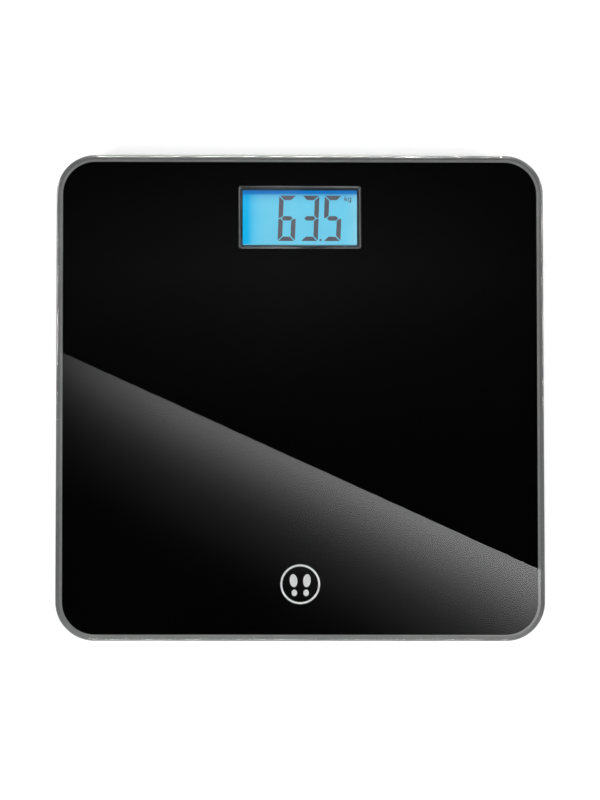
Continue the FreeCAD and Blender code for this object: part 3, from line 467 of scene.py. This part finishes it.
def liquid_crystal():
    """A darkened segment. A little of the light behind it still comes through."""
    finish = Finish("liquid_crystal", Base_Color=(0.03, 0.03, 0.035), Specular_IOR_Level=0.2,
                    Emission_Strength=1.0)
    patchy = finish.noise(4 * MM, detail=2.0)
    finish.feed(finish.shader, "Emission Color",
                finish.mix(finish.spread(patchy, 0.0, 1.0), (0.088, 0.088, 0.108), (0.102, 0.102, 0.124)))
    finish.feed(finish.shader, "Roughness", finish.spread(patchy, 0.5, 0.6))
    return finish.material


def battery_sleeve(node, positive):
    """A printed cell sleeve in two plain colours, with bare metal at both ends."""
    finish = Finish("sleeve_" + node)
    low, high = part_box(node)
    start, end = (high.x, low.x) if positive < 0 else (low.x, high.x)
    along = finish.range(finish.axis("X"), start, end, 0.0, 1.0)
    metal, dark, band = (0.62, 0.61, 0.58), (0.012, 0.022, 0.035), (0.35, 0.12, 0.03)
    node_ramp = finish.ramp(along, ((0.0, metal), (0.018, dark), (0.70, band), (0.965, metal)))
    node_ramp.node.color_ramp.interpolation = "CONSTANT"
    bare = finish.ramp(along, ((0.0, 1.0), (0.018, 0.0), (0.965, 1.0)))
    bare.node.color_ramp.interpolation = "CONSTANT"
    wrap = finish.noise(6 * MM, detail=5.0, stretch=(0.3, 1.0, 1.0))
    finish.feed(finish.shader, "Base Color",
                finish.mix(finish.range(wrap, 0.5, 0.8, 0.0, 0.25), node_ramp, (0.5, 0.5, 0.5)))
    finish.feed(finish.shader, "Metallic", bare)
    finish.feed(finish.shader, "Roughness", finish.spread(wrap, 0.22, 0.36))
    finish.bump(finish.noise(0.7 * MM), 0.006 * MM, 0.3)
    return finish.material


def circuit_board():
    """Green solder mask with faint tracks and tinned pads showing through."""
    finish = Finish("circuit_board", IOR=1.5, Coat_Weight=0.3)
    tracks = finish.add("TexBrick", {"Vector": finish.place, "Scale": 220.0, "Mortar Size": 0.035,
                                     "Color1": (0.008, 0.12, 0.045), "Color2": (0.010, 0.15, 0.055),
                                     "Mortar": (0.03, 0.24, 0.09)})
    cloud = finish.noise(8 * MM, detail=3.0)
    masked = finish.mix(finish.spread(cloud, 0.0, 0.3), tracks, (0.01, 0.08, 0.03))
    finish.feed(finish.shader, "Base Color", masked)
    finish.feed(finish.shader, "Roughness", finish.spread(cloud, 0.3, 0.45))
    finish.bump(finish.noise(0.5 * MM), 0.01 * MM, 0.4)
    return finish.material


SLOT_FINISH = {
    "white_film": lambda: moulded("white_film", (0.86, 0.87, 0.88), 0.45, worn=0.02),
    "clear_acrylic": lambda: moulded("clear_acrylic", (0.80, 0.86, 0.90), 0.12, depth=0.005 * MM, worn=0.0),
    "led_lens": lambda: moulded("led_lens", (0.90, 0.82, 0.45), 0.2, worn=0.0),
    "white_abs": lambda: moulded("white_abs", (0.80, 0.80, 0.77), 0.45),
    "elastomer": lambda: moulded("elastomer", (0.62, 0.30, 0.28), 0.7, grain=0.2 * MM),
    "board_green": circuit_board,
    "black_epoxy": lambda: moulded("black_epoxy", (0.012, 0.012, 0.012), 0.25, cloud=3 * MM, worn=0.0),
    "component_black": lambda: moulded("component_black", (0.03, 0.03, 0.032), 0.5, grain=0.2 * MM),
    "screw_steel": lambda: brushed("screw_steel", (0.56, 0.57, 0.58), 0.28, stretch=(1.0, 1.0, 0.1)),
    "grey_abs": lambda: moulded("grey_abs", (0.13, 0.135, 0.14), 0.5),
    "black_abs": lambda: moulded("black_abs", (0.022, 0.0225, 0.024), 0.48),
    "foam_tape": lambda: moulded("foam_tape", (0.72, 0.71, 0.68), 0.85, grain=0.4 * MM, depth=0.15 * MM),
    "nickel": lambda: brushed("nickel", (0.70, 0.68, 0.63), 0.2),
    "white_potting": lambda: moulded("white_potting", (0.82, 0.82, 0.80), 0.4, depth=0.01 * MM, cloud=3 * MM),
    "load_cell_steel": lambda: brushed("load_cell_steel", (0.55, 0.56, 0.57), 0.34),
    "foot_rubber": lambda: moulded("foot_rubber", (0.055, 0.055, 0.058), 0.75, grain=0.25 * MM,
                                   depth=0.05 * MM),
    "lcd_glass": lambda: moulded("lcd_glass", (0.35, 0.42, 0.45), 0.1, depth=0.002 * MM, worn=0.0),
}


def dress_frame():
    """Gives each carried-over CAD node the finish of its record slot, where the table or a battery sleeve
    provides one.
    """
    made = {}
    for node, thing in frame["nodes"].items():
        slot = NODE_SLOT[node]
        if slot == "battery_jacket":
            material = battery_sleeve(node, -1 if node.endswith("front") else 1)
        elif slot in SLOT_FINISH:
            if slot not in made:
                made[slot] = SLOT_FINISH[slot]()
            material = made[slot]
        else:
            continue
        thing.data.materials.clear()
        thing.data.materials.append(material)


def dress(node, material):
    thing = frame["nodes"][node]
    thing.data.materials.clear()
    thing.data.materials.append(material)


# ---- glass, print and mark ----------------------------------------------------------------------
def build_glass():
    """The glass with its rounded edge. Its underside takes in the top of the print."""
    low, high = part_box("glass_platform")
    bottom, top = low.z - SINK, high.z
    arc = [math.pi / 2 * step / ARC_STEPS for step in range(ARC_STEPS + 1)]
    profile = [(GROUND_RIM, bottom)]
    profile += [(PENCIL_R * (1 - math.sin(a)), bottom + PENCIL_R * (1 - math.cos(a))) for a in arc]
    profile += [(PENCIL_R * (1 - math.cos(a)), top - PENCIL_R * (1 - math.sin(a))) for a in arc]
    bm = bmesh.new()
    loops = []
    for inset, z in profile:
        outline = rounded_loop(high.x - inset, high.y - inset, CORNER_R - inset, CORNER_STEPS)
        loops.append([(x, y, z) for x, y in outline])
    rows, bands = add_loops(bm, loops, closed=False)
    for index, band in enumerate(bands):
        for face in band:
            face.material_index = 2 if index <= ARC_STEPS else 1
    bm.faces.new(rows[0][::-1])
    bm.faces.new(rows[-1])
    make_piece("platform_glass", bm, [polished_glass(), edge_glass(), ground_glass()], "platform",
               ["glass_platform"])


def build_mark(material):
    """A ring with two plain footprints, where the user stands."""
    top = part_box("glass_back_print")[1].z
    z0, z1 = top - SINK / 4, top + SINK / 2
    bm = bmesh.new()
    outer = ellipse(0, MARK_Y, MARK_R, MARK_R, steps=96)
    inner = ellipse(0, MARK_Y, MARK_R - MARK_LINE, MARK_R - MARK_LINE, steps=96)
    loops = [[(x, y, z) for x, y in ring] for ring, z in ((outer, z0), (outer, z1), (inner, z1), (inner, z0))]
    add_loops(bm, loops, closed=True)
    for side in (-1, 1):
        add_prism(bm, ellipse(side * SOLE_AT[0], MARK_Y + SOLE_AT[1], *SOLE_R, side * -SOLE_LEAN), z0, z1)
        add_prism(bm, ellipse(side * HEEL_AT[0], MARK_Y + HEEL_AT[1], *HEEL_R), z0, z1)
    make_piece("step_sign", bm, [material], "platform")


# ---- display ------------------------------------------------------------------------------------
def build_bezel(centre_y):
    """The frame round the display, metallised on its level face, with softened arrises."""
    low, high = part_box("display_bezel")
    soft = 0.10 * MM
    slant = soft * 0.7
    half_x, half_y = high.x, (high.y - low.y) / 2
    slope_z = high.z - BEZEL_SLOPE
    step_in = half_x - VIEW_X / 2
    profile = [(0, low.z), (0, high.z - soft), (soft, high.z), (step_in - BEZEL_SLOPE - soft, high.z),
               (step_in - BEZEL_SLOPE + slant, high.z - slant), (step_in - slant, slope_z + slant),
               (step_in, slope_z - soft), (step_in, low.z)]
    bm = bmesh.new()
    loops = []
    for inset, z in profile:
        radius = BEZEL_R + (VIEW_R - BEZEL_R) * inset / step_in
        outline = rounded_loop(half_x - inset, half_y - inset, radius, BEZEL_STEPS, centre_y)
        loops.append([(x, y, z) for x, y in outline])
    _, bands = add_loops(bm, loops, closed=True)
    for index, band in enumerate(bands):
        for face in band:
            face.material_index = 0 if index == FLAT_BAND else 1
    wall = moulded("frame_wall", (0.012, 0.0125, 0.014), 0.4, worn=0.0)
    make_piece("display_surround", bm, [dark_chrome(), wall], "platform", ["display_bezel"])


def segment_outlines():
    """Outlines of the seven segments of an upright digit, centred on the origin."""
    w, h, tv, th = DIGIT_W / 2, DIGIT_H / 2, STROKE_V, STROKE_H
    mitre = math.hypot(tv, th)
    kx, ky = SEGMENT_GAP / 2 * mitre / th, SEGMENT_GAP / 2 * mitre / tv
    gap = SEGMENT_GAP / 2
    top = [(-w + kx, h), (w - kx, h), (w - tv - kx, h - th), (-w + tv + kx, h - th)]
    upper = [(-w, h - ky), (-w, gap), (-w + tv / 2, gap), (-w + tv, th / 2 + gap), (-w + tv, h - th - ky)]
    middle = [(-w + tv / 2 + kx, 0), (-w + tv + kx, th / 2), (w - tv - kx, th / 2),
              (w - tv / 2 - kx, 0), (w - tv - kx, -th / 2), (-w + tv + kx, -th / 2)]

    def flipped(outline, side, end):
        return [(side * x, end * y) for x, y in outline]

    return {"a": top, "d": flipped(top, 1, -1), "f": upper, "b": flipped(upper, -1, 1),
            "e": flipped(upper, 1, -1), "c": flipped(upper, -1, -1), "g": middle}


def build_reading(centre_y, material):
    """The digits, the point and the unit, on the front film."""
    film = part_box("lcd_polarisers")[1].z
    z0, z1 = film - SINK / 2, film + SINK
    outlines = segment_outlines()
    for name, at, lit in DIGITS:
        bm = bmesh.new()
        for segment in lit:
            outline = [(at + x + DIGIT_SLANT * y, centre_y + DIGIT_Y + y) for x, y in outlines[segment]]
            add_prism(bm, outline, z0, z1)
        make_piece("digit_" + name, bm, [material], "platform")
    bm = bmesh.new()
    x, y = POINT_AT[0], centre_y + POINT_AT[1]
    add_prism(bm, rounded_square(x, y, POINT_SIDE / 2), z0, z1)
    make_piece("digit_point", bm, [material], "platform")
    build_unit(centre_y, z0, z1, material)


def rounded_square(x, y, half):
    return [(x + px, y + py) for px, py in rounded_loop(half, half, half * 0.35, 4)]


def build_unit(centre_y, z0, z1, material):
    """The letters kg in thin strokes."""
    x, y = UNIT_AT[0], centre_y + UNIT_AT[1]
    bm = bmesh.new()
    k_x = x - 2.0 * MM
    strokes = [[(k_x, y + 1.6 * MM), (k_x, y - 1.0 * MM)],
               [(k_x + 0.19 * MM, y - 0.1 * MM), (k_x + 1.45 * MM, y + 0.95 * MM)],
               [(k_x + 0.55 * MM, y + 0.12 * MM), (k_x + 1.6 * MM, y - 1.0 * MM)]]
    g_x, g_y, bowl = x + 1.15 * MM, y - 0.05 * MM, 0.85 * MM
    turns = [math.radians(a) for a in range(18, 343, 18)]
    strokes.append([(g_x + bowl * math.cos(a), g_y + bowl * math.sin(a)) for a in turns])
    stem = g_x + bowl
    hook = [(stem, y + 0.9 * MM), (stem, y - 1.1 * MM), (stem - 0.2 * MM, y - 1.5 * MM),
            (stem - 0.7 * MM, y - 1.65 * MM), (stem - 1.45 * MM, y - 1.5 * MM)]
    strokes.append(hook)
    for index, points in enumerate(strokes):
        grown = [(x + (px - x) * UNIT_SCALE[0], y + (py - y) * UNIT_SCALE[1]) for px, py in points]
        add_stroke(bm, grown, UNIT_STROKE, z0, z1 + index * SINK / 20)
    make_piece("display_unit", bm, [material], "platform")


# ---- wires --------------------------------------------------------------------------------------
def insulation(name, colour):
    return moulded(name, colour, 0.38, grain=0.3 * MM, depth=0.01 * MM, worn=0.02)


def build_wires():
    """Copies of the leads, with a colour for each wire."""
    red = insulation("wire_red", (0.42, 0.012, 0.012))
    black = insulation("wire_black", (0.012, 0.012, 0.013))
    white = insulation("wire_white", (0.72, 0.72, 0.70))
    for node, slot in NODE_SLOT.items():
        if slot != "wire_pvc":
            continue
        bm = bmesh.new()
        bm.from_mesh(frame["nodes"][node].data)
        bmesh.ops.remove_doubles(bm, verts=bm.verts, dist=WELD)
        for index, wire in enumerate(islands(bm)):
            for face in wire:
                face.material_index = index
        make_piece(node + "_wires", bm, [red, black, white], NODE_BODY[node], [node])


def islands(bm):
    """Lists of faces that hang together, in a steady order."""
    left, found = set(bm.faces), []
    for seed in list(bm.faces):
        if seed not in left:
            continue
        left.discard(seed)
        group, queue = [], [seed]
        while queue:
            face = queue.pop()
            group.append(face)
            for edge in face.edges:
                for other in edge.link_faces:
                    if other in left:
                        left.discard(other)
                        queue.append(other)
        found.append(group)
    return sorted(found, key=lambda group: min((v.co.x, v.co.y) for face in group for v in face.verts))


# ---- load cells ---------------------------------------------------------------------------------
def build_load_cells():
    """Load cells in two pieces: a frame that stays, and a tongue for the part that bends up with the foot;
    the tongue is given no body.
    """
    for corner in ("front_left", "front_right", "rear_left", "rear_right"):
        foot_low, foot_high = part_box("foot_cap_" + corner)
        build_load_cell(corner, (foot_low + foot_high) / 2)


def tongue_axes(offset):
    """Along the tongue from its tip to its root, and across it.

    The plate's middle is off the foot's along the tongue alone, along X in some corners and Y in others.
    """
    if abs(offset.x) > abs(offset.y):
        inward = Vector((math.copysign(1.0, offset.x), 0, 0))
    else:
        inward = Vector((0, math.copysign(1.0, offset.y), 0))
    return inward, Vector((-inward.y, inward.x, 0))


def build_load_cell(corner, foot):
    node = "load_cell_" + corner
    steel = frame["nodes"][node].data.materials[0]
    low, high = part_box(node)
    inward, across = tongue_axes((low + high) / 2 - foot)

    def place(along, aside=0.0, z=low.z):
        spot = foot + inward * along + across * aside
        return spot.x, spot.y, z

    bm = bmesh.new()
    loops = [[place(along * MM, aside, z) for aside, z in
              ((-TONGUE_HALF, low.z), (TONGUE_HALF, low.z), (TONGUE_HALF, high.z), (-TONGUE_HALF, high.z))]
             for along in TONGUE_ROWS]
    rows, _ = add_loops(bm, loops, closed=False)
    bm.faces.new(rows[0][::-1])
    bm.faces.new(rows[-1])
    tongue = make_piece(node + "_tongue", bm, [steel], None, [node])
    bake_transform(tongue)

    bm = bmesh.new()
    bm.from_mesh(frame["nodes"][node].data)
    bmesh.ops.remove_doubles(bm, verts=bm.verts, dist=WELD)
    bmesh.ops.bisect_plane(bm, geom=bm.verts[:] + bm.edges[:] + bm.faces[:], dist=WELD,
                           plane_co=place(TONGUE_ROOT), plane_no=inward)
    slack = 0.05 * MM
    gone = []
    for face in bm.faces:
        middle = face.calc_center_median() - foot
        along, aside = middle.dot(inward), middle.dot(across)
        if abs(aside) < TONGUE_HALF + slack and TONGUE_TIP - slack < along < TONGUE_ROOT - slack:
            gone.append(face)
    bmesh.ops.delete(bm, geom=gone, context="FACES")
    bmesh.ops.holes_fill(bm, edges=[edge for edge in bm.edges if edge.is_boundary], sides=0)
    make_piece(node + "_frame", bm, [steel], "platform", [node])


# ---- stage --------------------------------------------------------------------------------------
def stage_nodes(name, coordinate="UV"):
    material = bpy.data.materials.new(name)
    material.use_nodes = True
    material.node_tree.nodes.clear()
    return material, Nodes(material.node_tree, coordinate)


def make_quad(name, corners, material):
    """A flat card of the stage, whose UV spans it."""
    mesh = bpy.data.meshes.new(name)
    mesh.from_pydata(corners, [], [(0, 1, 2, 3)])
    layer = mesh.uv_layers.new(name="card")
    for loop, uv in zip(layer.data, ((0, 0), (1, 0), (1, 1), (0, 1))):
        loop.uv = uv
    mesh.materials.append(material)
    quad = bpy.data.objects.new(name, mesh)
    bpy.context.scene.collection.objects.link(quad)
    return quad


def glossy_only(card):
    card.visible_camera = False
    card.visible_diffuse = False
    card.visible_shadow = False
    card.visible_transmission = False
    card.visible_volume_scatter = False


def build_floor():
    """A wide pale floor. From below it is clear, so that the underside can be looked at."""
    material, nodes = stage_nodes("pale_floor")
    facing = nodes.add("NewGeometry", {}, output="Backfacing")
    surface = nodes.add("BsdfPrincipled", {"Base Color": (0.80, 0.80, 0.80), "Roughness": 0.9,
                                           "Specular IOR Level": 0.0, "Emission Color": (1.0, 1.0, 1.0),
                                           "Emission Strength": FLOOR_GLOW})
    both = nodes.add("MixShader", {"Fac": facing, 1: surface, 2: nodes.add("BsdfTransparent", {})})
    nodes.add("OutputMaterial", {"Surface": both}, output=None)
    reach, z = FLOOR_REACH, CAD_BOX[0].z - FLOOR_DROP
    corners = [(-reach, -reach, z), (reach, -reach, z), (reach, reach, z), (-reach, reach, z)]
    floor = make_quad("floor", corners, material)
    floor.visible_shadow = False


def make_card(name, corners, build_strength, lift=0.0, below_glass=False):
    """A glowing card overhead, given by its image's four corners on the glass.

    It is mirrored by the glass alone, or by what lies below the glass alone. Cards that overlap
    need different lifts, because one at the same height hides the other.
    """
    z = CAD_BOX[1].z + CARD_HEIGHT + lift
    material, nodes = stage_nodes(name)
    glow = nodes.add("Emission", {"Strength": build_strength(nodes)})
    both = nodes.add("AddShader", {0: glow, 1: nodes.add("BsdfTransparent", {})})
    nodes.add("OutputMaterial", {"Surface": both}, output=None)
    places = [(x * CARD_SCALE + CARD_SHIFT.x, y * CARD_SCALE + CARD_SHIFT.y, z) for x, y in corners]
    card = make_quad(name, places, material)
    glossy_only(card)
    card.visible_glossy, card.visible_transmission = not below_glass, below_glass


def sheen_strength(nodes):
    along = [((x * MM + SHEEN_HALF) / (2 * SHEEN_HALF), level / SHEEN_MAX) for x, level in SHEEN_ALONG]
    fade = [(drop * MM / SHEEN_DROP, level) for drop, level in SHEEN_FADE]
    across, drop = nodes.axis("X"), nodes.axis("Y")
    widen = nodes.range(nodes.math("POWER", across, 3.0), 0.0, 1.0, SHEEN_FADE_RATE,
                        SHEEN_FADE_RATE - SHEEN_WIDEN)
    level = nodes.ramp(across, along)
    shape = nodes.math("MULTIPLY", level, nodes.ramp(nodes.math("MULTIPLY", drop, widen), fade))
    return nodes.math("MULTIPLY", shape, SHEEN_MAX)


def glow_strength(nodes):
    wide = nodes.ramp(nodes.axis("X"), GLOW_WIDE)
    tall = nodes.ramp(nodes.axis("Y"), GLOW_TALL)
    return nodes.math("MULTIPLY", nodes.math("MULTIPLY", wide, tall), GLOW_MAX)


def strip_strength(half_x, half_y):
    """Four strips of uneven brightness, which the display's frame mirrors."""
    def build(nodes):
        x = nodes.range(nodes.axis("X"), 0.0, 1.0, -half_x - STRIP_MARGIN, half_x + STRIP_MARGIN)
        y = nodes.range(nodes.axis("Y"), 0.0, 1.0, -half_y - STRIP_MARGIN, half_y + STRIP_MARGIN)
        across = nodes.range(x, -half_x, half_x, 0.0, 1.0)
        along = nodes.range(y, -half_y, half_y, 0.0, 1.0)
        flank = nodes.mix(across, nodes.ramp(along, STRIP_LEFT), nodes.ramp(along, STRIP_RIGHT))
        ends = nodes.mix(along, nodes.ramp(across, STRIP_LOWER), nodes.ramp(across, STRIP_UPPER))
        over_x = nodes.math("SUBTRACT", nodes.math("ABSOLUTE", x), half_x)
        over_y = nodes.math("SUBTRACT", nodes.math("ABSOLUTE", y), half_y)
        tone = nodes.mix(nodes.math("GREATER_THAN", over_y, over_x), flank, ends)
        return nodes.math("MULTIPLY", tone, STRIP_MAX)
    return build


def box_corners(left, right, front, back):
    """The four corners of a rectangle, seen from above, in order."""
    return [(left, front), (right, front), (right, back), (left, back)]


def build_cards():
    """A slanting sheen across the glass, a faint glow behind it, and strips for the display's frame."""
    left, right = -SHEEN_HALF, SHEEN_HALF
    edge = [(x, SHEEN_START + SHEEN_SLOPE * x) for x in (left, right)]
    sheen = [edge[0], edge[1], (right, edge[1][1] - SHEEN_DROP), (left, edge[0][1] - SHEEN_DROP)]
    make_card("sheen_card", sheen, sheen_strength)
    glow = box_corners(GLOW_LEFT, GLOW_RIGHT, GLOW_FRONT, GLOW_BACK)
    make_card("glow_card", glow, glow_strength, lift=GLOW_LIFT)
    low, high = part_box("display_bezel")
    strips = box_corners(low.x - STRIP_MARGIN, high.x + STRIP_MARGIN,
                         low.y - STRIP_MARGIN, high.y + STRIP_MARGIN)
    make_card("strip_card", strips, strip_strength(high.x, (high.y - low.y) / 2), below_glass=True)


def build_world():
    """White all round, and dark overhead, where the glass would mirror it."""
    world = bpy.data.worlds.new("studio")
    bpy.context.scene.world = world
    world.use_nodes = True
    nodes = Nodes(world.node_tree, "Generated")
    background = world.node_tree.nodes["Background"]
    nodes.feed(background, "Color", nodes.ramp(nodes.axis("Z"), SKY))
    nodes.feed(background, "Strength", SKY_STRENGTH)


def area_light(name, place, size, power, height=None, mirrored=True):
    """A soft lamp that faces the middle of the platform. The camera doesn't see it.

    One that isn't mirrored only lights the object: the flat glass would show it as one white sheet to
    anyone opposite. One with a height is a low strip that is only mirrored, mostly by the glass edge.
    """
    light = bpy.data.lights.new(name, "AREA")
    light.shape = "RECTANGLE"
    light.size, light.size_y = size, height or size
    light.energy = power
    lamp = bpy.data.objects.new(name, light)
    bpy.context.scene.collection.objects.link(lamp)
    lamp.location = place
    lamp.rotation_euler = Vector(place).to_track_quat("Z", "Y").to_euler()
    lamp.visible_camera = False
    lamp.visible_glossy = mirrored
    lamp.visible_diffuse = height is None


def build_lights():
    area_light("key_light", (-2.2, -1.6, 2.3), size=1.5, power=105, mirrored=False)
    area_light("fill_light", (2.4, -0.8, 2.1), size=1.6, power=62, mirrored=False)
    area_light("back_light", (0.1, 2.6, 1.75), size=1.0, power=64, mirrored=False)
    area_light("left_edge_light", (-2.3, 0.72, 0.28), size=1.0, power=30, height=STRIP_LAMP_HEIGHT)
    area_light("right_edge_light", (2.3, 0.72, 0.28), size=1.0, power=24, height=STRIP_LAMP_HEIGHT)
    area_light("front_edge_light", (0.0, -2.3, 0.28), size=1.0, power=20, height=STRIP_LAMP_HEIGHT)
    area_light("back_edge_light", (0.1, 2.3, 0.28), size=1.0, power=64, height=STRIP_LAMP_HEIGHT)
    area_light("low_left_light", (-1.2, -1.0, -1.4), size=1.2, power=22)
    area_light("low_right_light", (1.4, 0.9, -1.2), size=1.2, power=13)


def build_flags():
    """Dark cards on the floor beside the user's half. They are only mirrored, mostly by the glass edge."""
    half, z = CAD_BOX[1].x, CAD_BOX[0].z + MM
    for name, side in (("left_flag", -1), ("right_flag", 1)):
        material, nodes = stage_nodes(name)
        cover = nodes.ramp(nodes.axis("Y"), ((0.0, 1.0), (0.4, 1.0), (1.0, 0.0)))
        dark = nodes.add("BsdfDiffuse", {"Color": (0.005, 0.005, 0.005)})
        both = nodes.add("MixShader", {"Fac": cover, 1: nodes.add("BsdfTransparent", {}), 2: dark})
        nodes.add("OutputMaterial", {"Surface": both}, output=None)
        inner, outer = side * half, side * (half + FLAG_REACH)
        corners = [(x, y, z) for x, y in box_corners(inner, outer, -half, 0)]
        glossy_only(make_quad(name, corners, material))


def build_camera():
    """Almost straight above, a little to the user's side."""
    print_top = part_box("glass_back_print")[1].z
    aim = Vector((0, AIM_Y, print_top))
    right = Vector((0, 1, 0)).cross(CAMERA_BACK).normalized()
    up = CAMERA_BACK.cross(right)
    turn = Matrix((right, up, CAMERA_BACK)).transposed() @ Matrix.Rotation(CAMERA_ROLL, 3, "Z")
    data = bpy.data.cameras.new("camera")
    data.lens, data.sensor_width, data.clip_end = LENS, SENSOR, CAMERA_CLIP
    camera = bpy.data.objects.new("camera", data)
    bpy.context.scene.collection.objects.link(camera)
    camera.matrix_world = Matrix.Translation(aim + CAMERA_BACK * CAMERA_DISTANCE) @ turn.to_4x4()
    bpy.context.scene.camera = camera


# ---- the whole scene ----------------------------------------------------------------------------
def build_scene():
    low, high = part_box("display_bezel")
    display_y = (low.y + high.y) / 2
    dress_frame()
    build_glass()
    dress("glass_back_print", black_print())
    build_mark(white_print())
    build_bezel(display_y)
    dress("lcd_polarisers", lit_film(display_y))
    build_reading(display_y, liquid_crystal())
    build_wires()
    build_load_cells()
    build_floor()
    build_cards()
    build_flags()
    build_world()
    build_lights()
    build_camera()
    bpy.context.scene.view_settings.view_transform = "Standard"


build_scene()
